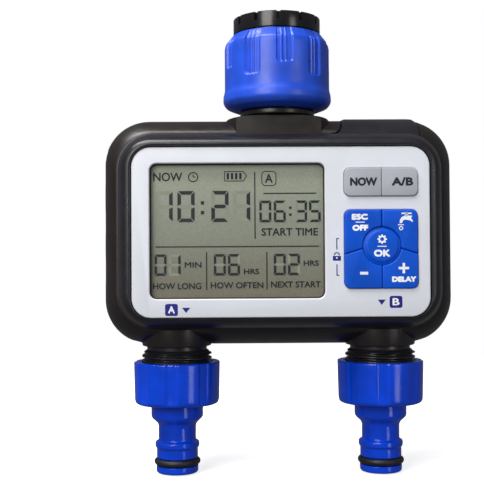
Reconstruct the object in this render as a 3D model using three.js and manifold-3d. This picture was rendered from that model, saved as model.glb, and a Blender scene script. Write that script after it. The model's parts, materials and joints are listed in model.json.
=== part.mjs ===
// Two-outlet hose tap timer for drip irrigation. It screws onto a garden tap by its swivel collar, opens and
// shuts two water outlets with motor-driven ball valves, and is set with seven keys beside a display.
//
// Units are millimetres. +Z is up, the display faces -Y and +X is to the right of a person reading it.
// The origin is the centre of the inlet's open top rim. Housing pieces are drawn about the housing's centre,
// and the pieces of each outlet about that outlet's own axis; groups at the end put them in place.
import * as THREE from "three";
import { mergeVertices } from "three/addons/utils/BufferGeometryUtils.js";
import Module from "manifold-3d";

const wasm = await Module();
wasm.setup();

// ---------------------------------------------------------------- driving dimensions
const GAP = 0.3; // air left between two solids that touch
const CUT = 1; // how far a cutting solid runs past what it cuts
const SLIVER = 0.002; // edges shorter than this are closed up
const ROUND = 24; // segments of a large round piece
const SMALL_ROUND = 16; // segments of a small round piece
const TINY_ROUND = 8; // segments of a shank or a pill
const QUARTER = 4; // segments of a rounded corner
const DEG = Math.PI / 180;

// Housing, about its own centre
const HOUSING_Z = -80.9;
const HALF_W = 65.8;
const HALF_H = 42.4;
const CORNER_R = 17;
const CORNER_SHRINK = 0.45; // how fast the corner radius follows the outline inwards
const WALL = 2.6;
const FRONT_Y = -23.4; // plane of the white fascia
const BEZEL_Y = -24.2; // crest of the bezel, just proud of the fascia
const SEAM_Y = -12; // where the front and rear shells meet
const BACK_Y = 29;
const SHOULDER = { y: 2, depth: 16.5, inset: 12.6 }; // rear shell's front rounding, a part of an ellipse
const BACK_ROUND = { y: 15, depth: 14.5, inset: 9.5 }; // and its rounding towards the back
const BEZEL = { w: 59.4, h: 35.7, r: 13.4, depth: 12.6, inset: 5.4 };
const BEZEL_WALL = 3.2;
const INLET_BOSS = { r: 19.6, rise: 0.7 }; // round raised ground that the neck comes up through
const OUTLET_BOSS = { r: 13.1, topZ: -36.3, rise: 0.4 }; // round skirt above each threaded spigot
// The front shell's lip over the rear shell's top.
const TAB = { left: 24, foot: 19.3, footZ: 36, right: 52.2, back: 4, rise: 0.7 };
const GRIP = { rightTopX: 53.8, leftTopZ: 31, bottomX: 52, front: -3, back: 19, thick: 1.1 };
const GRIP_NOTCHES = [22.6, 3.7, -13.8];
const GRIP_NOTCH = { high: 1.2, deep: 0.7 };
const SIDES = { left: -1, right: 1 };

// Fascia, window and keys
const FASCIA = { left: -53.4, right: 53.4, top: 29.8, bottom: -31.2, corner: 7 };
const FASCIA_THICK = 1.8;
const LEDGE = 2.2; // width of the shelf that the fascia rests on
const LEDGE_THICK = 1.8;
const CAVITY_FRONT = { w: 53.6, h: 30.6, r: 9 }; // front end of the front shell's hollow
const WINDOW = { left: -47, right: 15.8, top: 24, bottom: -24.5, corner: 2.5 };
const GREY_KEYS = { left: 22.6, right: 49, top: 22.1, bottom: 11.9, corner: 2.2 };
const BLUE_KEYS = { left: 22.6, right: 49, top: 7.1, bottom: -21.1, corner: 2.3 };
const KEY_X = 36; // the line between left and right keys, and the OK key's centre
const KEY_ROWS = [17, 2.5, -15]; // heights of the contacts behind each pair of keys
const KEY_HALF_PITCH = 8;
const KEY_PROUD = 0.9; // height of a key above the fascia
const KEY_BACK_Y = -20;
const KEY_GAP = 0.3; // half of the groove between two keys
const OK_KEY = { z: -6, r: 5.65, skirtR: 6.7, clearR: 7.1, skirtDrop: 0.5 };
const GROOVE_SLOPE = 0.316; // the side grooves fall outwards by this much
const GROOVE_Z = -4.7; // where they would meet on the line between the keys

// Inside the front shell, from front to back
const LENS = { y: -21.3, thick: 0.8, overlap: 1.5 };
const LCD = { y: -20.2, thick: 2.4, overlap: 2.2 };
const MEMBRANE = { left: 20.4, right: 50.6, top: 24.6, bottom: -23.6, corner: 2, y: -18.9, thick: 1.3 };
const CONTACT_PILL = { r: 2, thick: 1.2 };
const BOARD = { left: -50, right: 50, top: 27, bottom: -27, corner: 2, y: -15.5, thick: 1.6 };
const CHIPS = [
  { x: -10, z: 14, w: 12, h: 12, thick: 1.4 },
  { x: 11, z: 0, w: 10, h: 8, thick: 1.8 },
  { x: -21.5, z: -8, w: 5, h: 8, thick: 3 },
];

// Screws from the back
const SCREW_X = 54.5;
const SCREW_Z = 25;
const SCREW_POST_R = 4;
const SCREW = { headR: 2.6, headThick: 2.4, shankR: 1.4, headY: 3, tipY: -16.4 };

// Battery drawer, about its own centre
const BATTERY_Z = -3.1;
const TRAY = { w: 28.6, h: 16.4, front: 9.6, wall: 1.3 };
const WELL_WALL = 1.2;
const COVER = { w: 33, h: 21, r: 4, thick: 2.6 };
const SEAL_WIDTH = 1.8;
const SEAL_THICK = 0.8;
const CELL = { r: 7.1, half: 25, nubR: 2.7, nub: 1.2, y: 17.3, z: 7.4 }; // AA size
const CONTACT = { half: 6, high: 5.5, thick: 0.7 };

// Inlet, on the Z axis
const REDUCER = { headR: 16.5, headZ: -5.8, threadR: 15.5, boreR: 12.1, seatZ: -15.8, endZ: -19, holeR: 8.5 };
const COLLAR = { topR: 16.9, topZ: -6.3, chamferR: 19.7, chamferZ: -9.9, wallR: 19.9, wallZ: -27.4 };
const COLLAR_BEAD = { r: 20.56, z: -31.6, underR: 14.4, underZ: -35.1 };
const COLLAR_SLOTS = 10;
const SLOT = { turn: 6, width: 6.2, depth: 0.8, long: -23.5, short: -19.5 };
const NECK = { sealR: 14.6, topZ: -21.3, rimZ: -24.3, throatR: 11.5, r: 10.4, boreR: 8.8 };
const NECK_FLANGE = { r: 14.1, endZ: -37.4 };
const NECK_END_Z = -49.7; // the neck stands on the manifold's collar here
const CASTLE_TEETH = 12;
const CASTLE_NOTCH = { width: 1.4, deep: 1.6, high: 3.2 };
const FILTER = { r: 8.1, wall: 0.9, bottomZ: -31 };

// Water ways and valves
const OUTLET_X = 38.6;
const GALLERY_Z = -60;
const GALLERY = { r: 7.6, boreR: 5.5 };
const SOCKET = { r: 11.5, topZ: -51.5, endZ: -70, spigotR: 8.7, spigotZ: -75.7 };
const VALVE_Z = -85;
const VALVE = { r: 11.5, chamberR: 9, floorZ: -94.3, boreR: 6, neckR: 11.3 };
const BALL = { r: 8.5, boreR: 4.5 };
const SEAT = { clear: 0.3, boreR: 4.8, rimZ: 2.6, faceZ: 9 };
const STEM = { r: 2, slotDepth: 1.6, tongue: 0.9 };
const BOSS_END = 13.3;
const THREAD = { crestR: 13.2, rootR: 12.1, pitch: 1.814, turns: 3, topZ: -125.6, endZ: -141.4 };

// Valve drives, about the ball's centre, with +X towards the middle of the housing
const GEAR = { module: 0.6, wheelTeeth: 24, pinionTeeth: 12, addendum: 0.54, dedendum: 0.75, backlash: 0.16 };
const PRESSURE_ANGLE = 20 * DEG;
const WHEEL_X = 13.9;
const WHEEL_THICK = 2.8;
const GEAR_CENTRES = (GEAR.module * (GEAR.wheelTeeth + GEAR.pinionTeeth)) / 2;
const MOTOR = { r: 6, start: 18.4, length: 16.4, shaftR: 0.9 };
const CRADLE = { w: 18, d: 6, top: -97, arch: -106, bottom: -118.6, leg: 3 };

// Outlet connectors, on the outlet's axis
const NUT = { r: 16.26, endR: 15.9, topZ: -129.65, endZ: -145.6, boreR: 13.5, floorZ: -143.9, round: 1.6 };
const OUTLET_WASHER = { r: 13, boreR: 6, topZ: -141.7, endZ: -143.6 };
const NIPPLE_BORE_R = 4.6;
const NIPPLE_FLANGE = { r: 9.8, endZ: -150.6 };
const NIPPLE_NECK = { r: 7.06, topZ: -153.2, endZ: -159.3 };
const NIPPLE_BEAD = { r: 8.3, z: -160.8 };
const NIPPLE_END = { barrelR: 7.75, r: 7.9, z: -171.5, chamfer: 0.8 };
const O_RING = { r: 8.7, section: 2.4, z: -167.3 };

// ---------------------------------------------------------------- materials
const finish = (color, roughness, metalness = 0, extra = {}) =>
  new THREE.MeshStandardMaterial({ color, roughness, metalness, ...extra });
const BLACK_PLASTIC = finish("#1d1d21", 0.42);
const BLACK_GLOSS = finish("#141416", 0.2);
const GRIP_RUBBER = finish("#1a1a1d", 0.7);
const WHITE_PLASTIC = finish("#e1e6f0", 0.35);
const BLUE_PLASTIC = finish("#0b3fd0", 0.25);
const BLUE_SATIN = finish("#2446c8", 0.4);
const BLUE_KEY = finish("#1450c8", 0.5);
const GREY_KEY = finish("#aaadb4", 0.55);
const CLEAR = finish("#dfe4dc", 0.05, 0, { transparent: true, opacity: 0.25 });
const DISPLAY = finish("#9aa086", 0.35);
const SEAL_RUBBER = finish("#171717", 0.7);
const BOARD_GREEN = finish("#1d5c38", 0.5);
const CELL_SLEEVE = finish("#4a4f58", 0.3);
const STEEL = finish("#b9bcc2", 0.3, 1);
const BRASS = finish("#c2a050", 0.3, 1);
const NATURAL_PLASTIC = finish("#e9e6dc", 0.45);

// ---------------------------------------------------------------- solids
// Makes a solid that faces out whichever way its surface was drawn.
function solidOf(geometry) {
  const bare = geometry.index ? geometry.toNonIndexed() : geometry.clone();
  for (const name of Object.keys(bare.attributes)) if (name !== "position") bare.deleteAttribute(name);
  const merged = mergeVertices(bare, 1e-4);
  const triangles = [];
  for (let i = 0; i < merged.index.count; i += 3) {
    const [a, b, c] = merged.index.array.subarray(i, i + 3);
    if (a !== b && b !== c && c !== a) triangles.push([a, b, c]);
  }
  const build = (corners) =>
    new wasm.Manifold(
      new wasm.Mesh({
        numProp: 3,
        vertProperties: merged.attributes.position.array,
        triVerts: new Uint32Array(corners.flat()),
      }),
    );
  const solid = build(triangles);
  return solid.volume() > 0 ? solid : build(triangles.map(([a, b, c]) => [a, c, b]));
}

function geometryOf(solid) {
  const mesh = solid.simplify(SLIVER).getMesh();
  const points = new Float32Array(mesh.numVert * 3);
  for (let i = 0; i < mesh.numVert; i++) {
    points.set(mesh.vertProperties.subarray(i * mesh.numProp, i * mesh.numProp + 3), i * 3);
  }
  return new THREE.BufferGeometry()
    .setAttribute("position", new THREE.BufferAttribute(points, 3))
    .setIndex(new THREE.BufferAttribute(new Uint32Array(mesh.triVerts), 1));
}

const box = (x0, x1, y0, y1, z0, z1) =>
  solidOf(
    new THREE.BoxGeometry(x1 - x0, y1 - y0, z1 - z0).translate((x0 + x1) / 2, (y0 + y1) / 2, (z0 + z1) / 2),
  );

// Cylinders along each axis, from one place to another.
const alongZ = (r, z0, z1, x = 0, y = 0, segments = ROUND) =>
  solidOf(
    new THREE.CylinderGeometry(r, r, z1 - z0, segments).rotateX(90 * DEG).translate(x, y, (z0 + z1) / 2),
  );
const alongY = (r, y0, y1, x, z, segments = SMALL_ROUND) =>
  solidOf(new THREE.CylinderGeometry(r, r, y1 - y0, segments).translate(x, (y0 + y1) / 2, z));
const alongX = (r, x0, x1, y, z, segments = SMALL_ROUND) =>
  solidOf(
    new THREE.CylinderGeometry(r, r, x1 - x0, segments).rotateZ(90 * DEG).translate((x0 + x1) / 2, y, z),
  );

// Turns a closed profile of [radius, z] pairs about Z.
function turned(profile, segments = ROUND) {
  const points = [...profile, profile[0]].map(([r, z]) => new THREE.Vector2(r, z));
  return solidOf(new THREE.LatheGeometry(points, segments).rotateX(90 * DEG));
}

// A flat outline drawn in X and Z, standing from y0 to y1.
function slab(shape, y0, y1, curveSegments = QUARTER) {
  const geometry = new THREE.ExtrudeGeometry(shape, { depth: y1 - y0, bevelEnabled: false, curveSegments });
  return solidOf(geometry.rotateX(90 * DEG).translate(0, y1, 0));
}

// A flat outline drawn in Y and Z, standing from x0 to x1.
function slabAlongX(shape, x0, x1) {
  const geometry = new THREE.ExtrudeGeometry(shape, { depth: x1 - x0, bevelEnabled: false });
  return solidOf(geometry.rotateX(90 * DEG).rotateZ(90 * DEG).translate(x0, 0, 0));
}

function roundedShape({ left, right, top, bottom, corner }, grow = 0) {
  const r = Math.max(corner + grow, 0.3);
  const [x0, x1, z0, z1] = [left - grow, right + grow, bottom - grow, top + grow];
  return new THREE.Shape()
    .moveTo(x0 + r, z0)
    .lineTo(x1 - r, z0)
    .absarc(x1 - r, z0 + r, r, -90 * DEG, 0)
    .lineTo(x1, z1 - r)
    .absarc(x1 - r, z1 - r, r, 0, 90 * DEG)
    .lineTo(x0 + r, z1)
    .absarc(x0 + r, z1 - r, r, 90 * DEG, 180 * DEG)
    .lineTo(x0, z0 + r)
    .absarc(x0 + r, z0 + r, r, 180 * DEG, 270 * DEG);
}

const panel = (rect, grow, y0, y1) => slab(roundedShape(rect, grow), y0, y1);
const centred = (w, h, r, z = 0) => ({ left: -w, right: w, top: z + h, bottom: z - h, corner: r });

// Skins a stack of rounded rectangles, each { y, w, h, r }, and caps both ends.
function loft(sections) {
  const ring = ({ y, w, h, r }) => {
    const points = [];
    for (let corner = 0; corner < 4; corner++) {
      const cx = (corner === 0 || corner === 3 ? 1 : -1) * (w - r);
      const cz = (corner < 2 ? 1 : -1) * (h - r);
      for (let i = 0; i <= QUARTER; i++) {
        const a = (corner + i / QUARTER) * 90 * DEG;
        points.push([cx + r * Math.cos(a), y, cz + r * Math.sin(a)]);
      }
    }
    return points;
  };
  const rings = sections.map(ring);
  const n = rings[0].length;
  const corners = [];
  for (let s = 0; s + 1 < rings.length; s++) {
    for (let i = 0; i < n; i++) {
      const j = (i + 1) % n;
      const [a, b, c, d] = [rings[s][i], rings[s][j], rings[s + 1][j], rings[s + 1][i]];
      corners.push(a, c, b, a, d, c);
    }
  }
  const [first, last] = [rings[0], rings[rings.length - 1]];
  for (let i = 1; i + 1 < n; i++) {
    corners.push(first[0], first[i], first[i + 1], last[0], last[i + 1], last[i]);
  }
  const positions = new THREE.Float32BufferAttribute(corners.flat(), 3);
  return solidOf(new THREE.BufferGeometry().setAttribute("position", positions));
}

const joined = (first, ...others) => others.reduce((sum, one) => sum.add(one), first);
const carved = (first, ...others) => others.reduce((rest, one) => rest.subtract(one), first);

function named(name, material, solid) {
  const mesh = new THREE.Mesh(geometryOf(solid), material);
  mesh.name = name;
  return mesh;
}

function grouped(meshes, x = 0, y = 0, z = 0, turn = 0) {
  const group = new THREE.Group();
  group.add(...meshes);
  group.position.set(x, y, z);
  group.rotation.z = turn;
  return group;
}

// ---------------------------------------------------------------- housing forms
// How far an outline has come in at depth y, on a part of an ellipse that starts at curve.y.
function ellipseInset(y, curve) {
  const t = Math.min(Math.abs(y - curve.y) / curve.depth, 1);
  return curve.inset * (1 - Math.sqrt(1 - t * t));
}

// The rear shell's outer form between two depths, made bigger by grow all round.
function rearForm(y0, y1, grow = 0, stations = [-9, -5, SHOULDER.y, BACK_ROUND.y, 21, 25.5]) {
  const inside = stations.filter((y) => y > y0 && y < y1);
  return loft([y0, ...inside, y1].map((y) => {
    const clamped = Math.min(Math.max(y, SEAM_Y), BACK_Y);
    const inset = clamped < SHOULDER.y ? ellipseInset(clamped, SHOULDER) : 0;
    const back = clamped > BACK_ROUND.y ? ellipseInset(clamped, BACK_ROUND) : 0;
    const total = inset + back;
    return {
      y,
      w: HALF_W - total + grow,
      h: HALF_H - total + grow,
      r: Math.max(CORNER_R - CORNER_SHRINK * total + grow, 2),
    };
  }));
}

// The front shell's outer form, from the bezel's front edge to the seam.
function bezelForm(y0, y1, grow = 0) {
  const stations = [-23.2, -21, -17];
  const inside = stations.filter((y) => y > y0 && y < y1);
  return loft([y0, ...inside, y1].map((y) => {
    const inset = ellipseInset(Math.min(y, SEAM_Y), { ...BEZEL, y: SEAM_Y });
    return { y, w: BEZEL.w - inset + grow, h: BEZEL.h - inset + grow, r: BEZEL.r - inset + grow };
  }));
}

const screwPlaces = [-1, 1].flatMap((sx) => [-1, 1].map((sz) => [sx * SCREW_X, sz * SCREW_Z]));

// ---------------------------------------------------------------- front shell and what it holds
// The lip seen from the front: its left edge sweeps up from the seam and its right edge is upright.
function tabOutline(grow) {
  const [foot, left, right] = [TAB.foot - grow, TAB.left - grow, TAB.right + grow];
  return new THREE.Shape()
    .moveTo(foot, BEZEL.h - BEZEL_WALL)
    .lineTo(right, BEZEL.h - BEZEL_WALL)
    .lineTo(right, HALF_H + CUT)
    .lineTo(left, HALF_H + CUT)
    .quadraticCurveTo(left, TAB.footZ, foot, TAB.footZ);
}

// The lip follows the rear shell's form; grow widens it to cut the rear shell's matching notch.
const tabForm = (grow) =>
  rearForm(SEAM_Y - CUT, TAB.back + grow, TAB.rise + grow).intersect(
    slab(tabOutline(grow), SEAM_Y - CUT, TAB.back + grow),
  );

function frontShell() {
  const ledgeBack = FRONT_Y + FASCIA_THICK + GAP + LEDGE_THICK;
  const cavity = loft([
    { y: ledgeBack, ...CAVITY_FRONT },
    { y: SEAM_Y - 5, w: BEZEL.w - BEZEL_WALL, h: BEZEL.h - BEZEL_WALL, r: BEZEL.r - BEZEL_WALL },
    { y: SEAM_Y + 20, w: BEZEL.w - BEZEL_WALL, h: BEZEL.h - BEZEL_WALL, r: BEZEL.r - BEZEL_WALL },
  ]);
  const tab = tabForm(0).subtract(rearForm(SEAM_Y - 2 * CUT, TAB.back + CUT, -WALL));
  const gasketGroove = carved(
    panel(centred(BEZEL.w, BEZEL.h, BEZEL.r), -0.8, SEAM_Y - 1.1, SEAM_Y + CUT),
    panel(centred(BEZEL.w, BEZEL.h, BEZEL.r), -2.4, SEAM_Y - 2, SEAM_Y + 2),
    box(TAB.foot - 1, TAB.right + 1, SEAM_Y - 2, SEAM_Y + 2, 0, HALF_H),
  );
  const shell = carved(
    joined(bezelForm(BEZEL_Y, SEAM_Y), tab),
    cavity,
    panel(FASCIA, GAP, BEZEL_Y - CUT, FRONT_Y + FASCIA_THICK + GAP),
    panel(FASCIA, -LEDGE, BEZEL_Y - CUT, SEAM_Y),
  );
  const posts = screwPlaces.map(([x, z]) =>
    alongY(SCREW_POST_R, ledgeBack - 1, SEAM_Y, x, z).intersect(bezelForm(BEZEL_Y, SEAM_Y, -0.5)),
  );
  const holes = screwPlaces.map(([x, z]) =>
    alongY(SCREW.shankR + GAP, SCREW.tipY - GAP, SEAM_Y + CUT, x, z, TINY_ROUND),
  );
  return carved(joined(shell, ...posts), gasketGroove, ...holes);
}

function housingGasket() {
  const [y0, y1] = [SEAM_Y - 0.8, SEAM_Y + 0.1];
  const outline = centred(BEZEL.w, BEZEL.h, BEZEL.r);
  const tabGap = box(TAB.foot - 2, TAB.right + 2, y0 - CUT, y1 + CUT, 0, HALF_H);
  return carved(panel(outline, -1.1, y0, y1), panel(outline, -2.1, y0 - CUT, y1 + CUT), tabGap);
}

const fasciaPanel = () =>
  carved(
    panel(FASCIA, 0, FRONT_Y, FRONT_Y + FASCIA_THICK),
    ...[WINDOW, GREY_KEYS, BLUE_KEYS].map((rect) =>
      panel(rect, 0, FRONT_Y - CUT, FRONT_Y + FASCIA_THICK + CUT),
    ),
  );

// The part of the blue pad on one side of the middle line, above or below the side groove.
function blueKeyRegion(side, above) {
  const reach = 20;
  const grooveZ = (dx) => GROOVE_Z - GROOVE_SLOPE * dx + above * KEY_GAP;
  return new THREE.Shape([
    new THREE.Vector2(KEY_X + side * KEY_GAP, grooveZ(0)),
    new THREE.Vector2(KEY_X + side * reach, grooveZ(reach)),
    new THREE.Vector2(KEY_X + side * reach, above * 40),
    new THREE.Vector2(KEY_X + side * KEY_GAP, above * 40),
  ]);
}

function blueKey(side, above) {
  const [y0, y1] = [FRONT_Y - KEY_PROUD, KEY_BACK_Y];
  return panel(BLUE_KEYS, -GAP, y0, y1)
    .intersect(slab(blueKeyRegion(side, above), y0 - CUT, y1 + CUT))
    .subtract(alongY(OK_KEY.clearR, y0 - CUT, y1 + CUT, KEY_X, OK_KEY.z, ROUND));
}

function greyKey(side) {
  const [y0, y1] = [FRONT_Y - KEY_PROUD, KEY_BACK_Y];
  const edge = KEY_X + side * KEY_GAP;
  const far = KEY_X + side * 20;
  const half = box(Math.min(edge, far), Math.max(edge, far), y0 - CUT, y1 + CUT, 0, 40);
  return panel(GREY_KEYS, -GAP, y0, y1).intersect(half);
}

const okKey = () =>
  joined(
    alongY(OK_KEY.skirtR, FRONT_Y - KEY_PROUD + OK_KEY.skirtDrop, KEY_BACK_Y, KEY_X, OK_KEY.z, ROUND),
    alongY(OK_KEY.r, FRONT_Y - KEY_PROUD, KEY_BACK_Y - 1, KEY_X, OK_KEY.z, ROUND),
  );

function keypadMembrane() {
  const pillBack = MEMBRANE.y + MEMBRANE.thick + CONTACT_PILL.thick;
  const pairs = KEY_ROWS.flatMap((z) => [KEY_X - KEY_HALF_PITCH, KEY_X + KEY_HALF_PITCH].map((x) => [x, z]));
  const places = [...pairs, [KEY_X, OK_KEY.z]];
  const pills = places.map(([x, z]) => alongY(CONTACT_PILL.r, MEMBRANE.y + 0.5, pillBack, x, z, TINY_ROUND));
  return joined(panel(MEMBRANE, 0, MEMBRANE.y, MEMBRANE.y + MEMBRANE.thick), ...pills);
}

function circuitBoard() {
  const board = panel(BOARD, 0, BOARD.y, BOARD.y + BOARD.thick);
  const back = BOARD.y + BOARD.thick;
  const chips = CHIPS.map(({ x, z, w, h, thick }) =>
    box(x - w / 2, x + w / 2, back - 0.5, back + thick, z - h / 2, z + h / 2),
  );
  return joined(board, ...chips);
}

const lensPanel = () => panel(WINDOW, LENS.overlap, LENS.y, LENS.y + LENS.thick);
const lcdPanel = () => panel(WINDOW, LCD.overlap, LCD.y, LCD.y + LCD.thick);

// ---------------------------------------------------------------- rear shell, grips and screws
// The band of the rear form that one grip fills; grow cuts the shallow pocket it lies in.
// The right grip wraps its top corner too, and the left one stops below it.
function gripBand(side, grow) {
  const far = side * (HALF_W + 2);
  const stretch = (start, z0, z1) => {
    const near = side * (start - grow);
    return box(Math.min(near, far), Math.max(near, far), GRIP.front - grow, GRIP.back + grow, z0, z1);
  };
  const top =
    side === SIDES.right
      ? stretch(GRIP.rightTopX, 0, HALF_H + 2)
      : stretch(GRIP.bottomX, 0, GRIP.leftTopZ + grow);
  const region = stretch(GRIP.bottomX, -HALF_H - 2, 1).add(top);
  const outer = rearForm(GRIP.front - 4, GRIP.back + 4, grow ? CUT : 0);
  return outer.subtract(rearForm(GRIP.front - 5, GRIP.back + 5, -GRIP.thick - grow)).intersect(region);
}

function grip(side) {
  const notches = GRIP_NOTCHES.map((z) => {
    const ends = [side * (HALF_W - GRIP_NOTCH.deep), side * (HALF_W + CUT)];
    const [y0, y1] = [GRIP.front - CUT, GRIP.back + CUT];
    const half = GRIP_NOTCH.high / 2;
    return box(Math.min(...ends), Math.max(...ends), y0, y1, z - half, z + half);
  });
  return carved(gripBand(side, 0), ...notches);
}

// The walled well behind the back wall that keeps the battery drawer apart from the works.
function batteryWell() {
  const w = TRAY.w + GAP + WELL_WALL;
  const h = TRAY.h + GAP + WELL_WALL;
  const front = TRAY.front - GAP - WELL_WALL;
  const frame = panel(centred(COVER.w + 2, COVER.h + 2, COVER.r, BATTERY_Z), 0, BACK_Y - 6.5, BACK_Y - 1);
  return box(-w, w, front, BACK_Y - 1, BATTERY_Z - h, BATTERY_Z + h).add(frame);
}

function rearShell() {
  const hollow = rearForm(SEAM_Y - 2, BACK_Y - WALL, -WALL, [-5, SHOULDER.y, BACK_ROUND.y]);
  const posts = screwPlaces.map(([x, z]) =>
    alongY(SCREW_POST_R, SEAM_Y + GAP, BACK_Y - 1, x, z).intersect(rearForm(SEAM_Y + GAP, BACK_Y - 1, -0.6)),
  );
  const screwHoles = screwPlaces.flatMap(([x, z]) => [
    alongY(SCREW.headR + GAP, SCREW.headY, BACK_Y + CUT, x, z),
    alongY(SCREW.shankR + GAP, SEAM_Y - 1, BACK_Y, x, z, TINY_ROUND),
  ]);
  const inletBoss = alongZ(INLET_BOSS.r, BEZEL.h + GAP, HALF_H + INLET_BOSS.rise).intersect(
    box(-HALF_W, HALF_W, SEAM_Y + GAP, BACK_Y, 0, HALF_H + CUT),
  );
  const outletBosses = Object.values(SIDES).map((side) =>
    alongZ(OUTLET_BOSS.r, -HALF_H - OUTLET_BOSS.rise, OUTLET_BOSS.topZ, side * OUTLET_X),
  );
  const trayHole = box(
    -TRAY.w - GAP,
    TRAY.w + GAP,
    TRAY.front - GAP,
    BACK_Y + CUT,
    BATTERY_Z - TRAY.h - GAP,
    BATTERY_Z + TRAY.h + GAP,
  );
  const outer = rearForm(SEAM_Y + GAP, BACK_Y);
  return carved(
    joined(outer.subtract(hollow), inletBoss, batteryWell(), ...outletBosses, ...posts),
    gripBand(-1, GAP),
    gripBand(1, GAP),
    tabForm(GAP),
    trayHole,
    panel(centred(COVER.w, COVER.h, COVER.r, BATTERY_Z), GAP, BACK_Y - COVER.thick - 1.4, BACK_Y + CUT),
    alongZ(NECK.r + GAP, 30, HALF_H + 3),
    ...Object.values(SIDES).map((side) => alongZ(VALVE.neckR + GAP, -HALF_H - 2, -30, side * OUTLET_X)),
    ...screwHoles,
  );
}

function housingScrew([x, z]) {
  const head = alongY(SCREW.headR, SCREW.headY + GAP, SCREW.headY + GAP + SCREW.headThick, x, z);
  const shank = alongY(SCREW.shankR, SCREW.tipY, SCREW.headY + 1, x, z, TINY_ROUND);
  const faceY = SCREW.headY + GAP + SCREW.headThick;
  const slots = [
    box(x - 1.6, x + 1.6, faceY - 1, faceY + 1, z - 0.35, z + 0.35),
    box(x - 0.35, x + 0.35, faceY - 1, faceY + 1, z - 1.6, z + 1.6),
  ];
  return carved(joined(head, shank), ...slots);
}

// ---------------------------------------------------------------- battery drawer
function batteryCover() {
  const grooves = [-2.4, 0, 2.4].map((dz) =>
    box(-9, 9, BACK_Y - 0.6, BACK_Y + CUT, BATTERY_Z + dz - 0.5, BATTERY_Z + dz + 0.5),
  );
  const plate = panel(centred(COVER.w, COVER.h, COVER.r, BATTERY_Z), 0, BACK_Y - COVER.thick, BACK_Y);
  return carved(plate, ...grooves);
}

function batteryTray() {
  const back = BACK_Y - COVER.thick - GAP;
  const block = box(-TRAY.w, TRAY.w, TRAY.front, back, BATTERY_Z - TRAY.h, BATTERY_Z + TRAY.h);
  const [w, h] = [TRAY.w - TRAY.wall, TRAY.h - TRAY.wall];
  return block.subtract(box(-w, w, TRAY.front - CUT, back - TRAY.wall, BATTERY_Z - h, BATTERY_Z + h));
}

function batterySeal() {
  const [y0, y1] = [BACK_Y - COVER.thick - GAP - SEAL_THICK, BACK_Y - COVER.thick - GAP];
  const [w, h] = [TRAY.w + GAP, TRAY.h + GAP];
  return carved(
    panel(centred(w + SEAL_WIDTH, h + SEAL_WIDTH, 1.5, BATTERY_Z), 0, y0, y1),
    panel(centred(w, h, 0.5, BATTERY_Z), 0, y0 - CUT, y1 + CUT),
  );
}

// An AA cell with its positive nub towards side.
function batteryCell(side) {
  const z = BATTERY_Z - side * CELL.z;
  const flat = CELL.half - CELL.nub;
  const [x0, x1] = side > 0 ? [-CELL.half, flat] : [-flat, CELL.half];
  const [n0, n1] = side > 0 ? [flat - 1, CELL.half] : [-CELL.half, -flat + 1];
  return alongX(CELL.r, x0, x1, CELL.y, z, 20).add(alongX(CELL.nubR, n0, n1, CELL.y, z, 12));
}

const contactPlate = (x, z0, z1) =>
  box(x, x + CONTACT.thick, CELL.y - CONTACT.half, CELL.y + CONTACT.half, z0, z1);

// ---------------------------------------------------------------- inlet
function inletCollar() {
  const lipZ = NECK.rimZ - GAP;
  const profile = [
    [COLLAR.topR, COLLAR.topZ],
    [COLLAR.chamferR, COLLAR.chamferZ],
    [COLLAR.wallR, COLLAR.wallZ],
    [COLLAR_BEAD.r - 0.3, COLLAR_BEAD.z + 1.9],
    [COLLAR_BEAD.r, COLLAR_BEAD.z],
    [COLLAR_BEAD.r - 0.9, COLLAR_BEAD.z - 1.7],
    [COLLAR_BEAD.r - 2.7, COLLAR_BEAD.z - 2.9],
    [COLLAR_BEAD.underR, COLLAR_BEAD.underZ],
    [NECK.throatR + GAP, COLLAR_BEAD.underZ],
    [NECK.throatR + GAP, lipZ],
    [REDUCER.threadR + GAP, lipZ],
    [REDUCER.threadR + GAP, COLLAR.topZ],
  ];
  let collar = turned(profile);
  for (let i = 0; i < COLLAR_SLOTS; i++) {
    const bottom = i % 2 ? SLOT.long : SLOT.short;
    const outer = COLLAR.wallR + 2;
    const cutter = box(COLLAR.wallR - SLOT.depth, outer, -SLOT.width / 2, SLOT.width / 2, bottom, 0);
    collar = collar.subtract(cutter.rotate([0, 0, -90 + SLOT.turn + (i * 360) / COLLAR_SLOTS]));
  }
  return collar;
}

function inletReducer() {
  const profile = [
    [REDUCER.headR, 0],
    [REDUCER.headR, REDUCER.headZ],
    [REDUCER.threadR, REDUCER.headZ],
    [REDUCER.threadR, REDUCER.endZ],
    [REDUCER.holeR, REDUCER.endZ],
    [REDUCER.holeR, REDUCER.seatZ],
    [REDUCER.boreR, REDUCER.seatZ],
    [REDUCER.boreR, 0],
  ];
  let ring = turned(profile);
  const [inner, half] = [REDUCER.headR - CASTLE_NOTCH.deep, CASTLE_NOTCH.width / 2];
  for (let i = 0; i < CASTLE_TEETH; i++) {
    const notch = box(inner, REDUCER.headR + CUT, -half, half, -CASTLE_NOTCH.high, CUT);
    ring = ring.subtract(notch.rotate([0, 0, (i * 360) / CASTLE_TEETH]));
  }
  return ring;
}

const ringOf = (inner, outer, z0, z1, segments = ROUND) =>
  turned([[inner, z0], [outer, z0], [outer, z1], [inner, z1]], segments);

function inletFilter() {
  const top = REDUCER.seatZ + GAP;
  return turned([
    [0, FILTER.bottomZ],
    [FILTER.r - 1.2, FILTER.bottomZ],
    [FILTER.r, FILTER.bottomZ + 1.2],
    [FILTER.r, top],
    [REDUCER.boreR - GAP, top],
    [REDUCER.boreR - GAP, top + 0.8],
    [FILTER.r - FILTER.wall, top + 0.8],
    [FILTER.r - FILTER.wall, FILTER.bottomZ + FILTER.wall],
    [0, FILTER.bottomZ + FILTER.wall],
  ], SMALL_ROUND);
}

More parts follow.
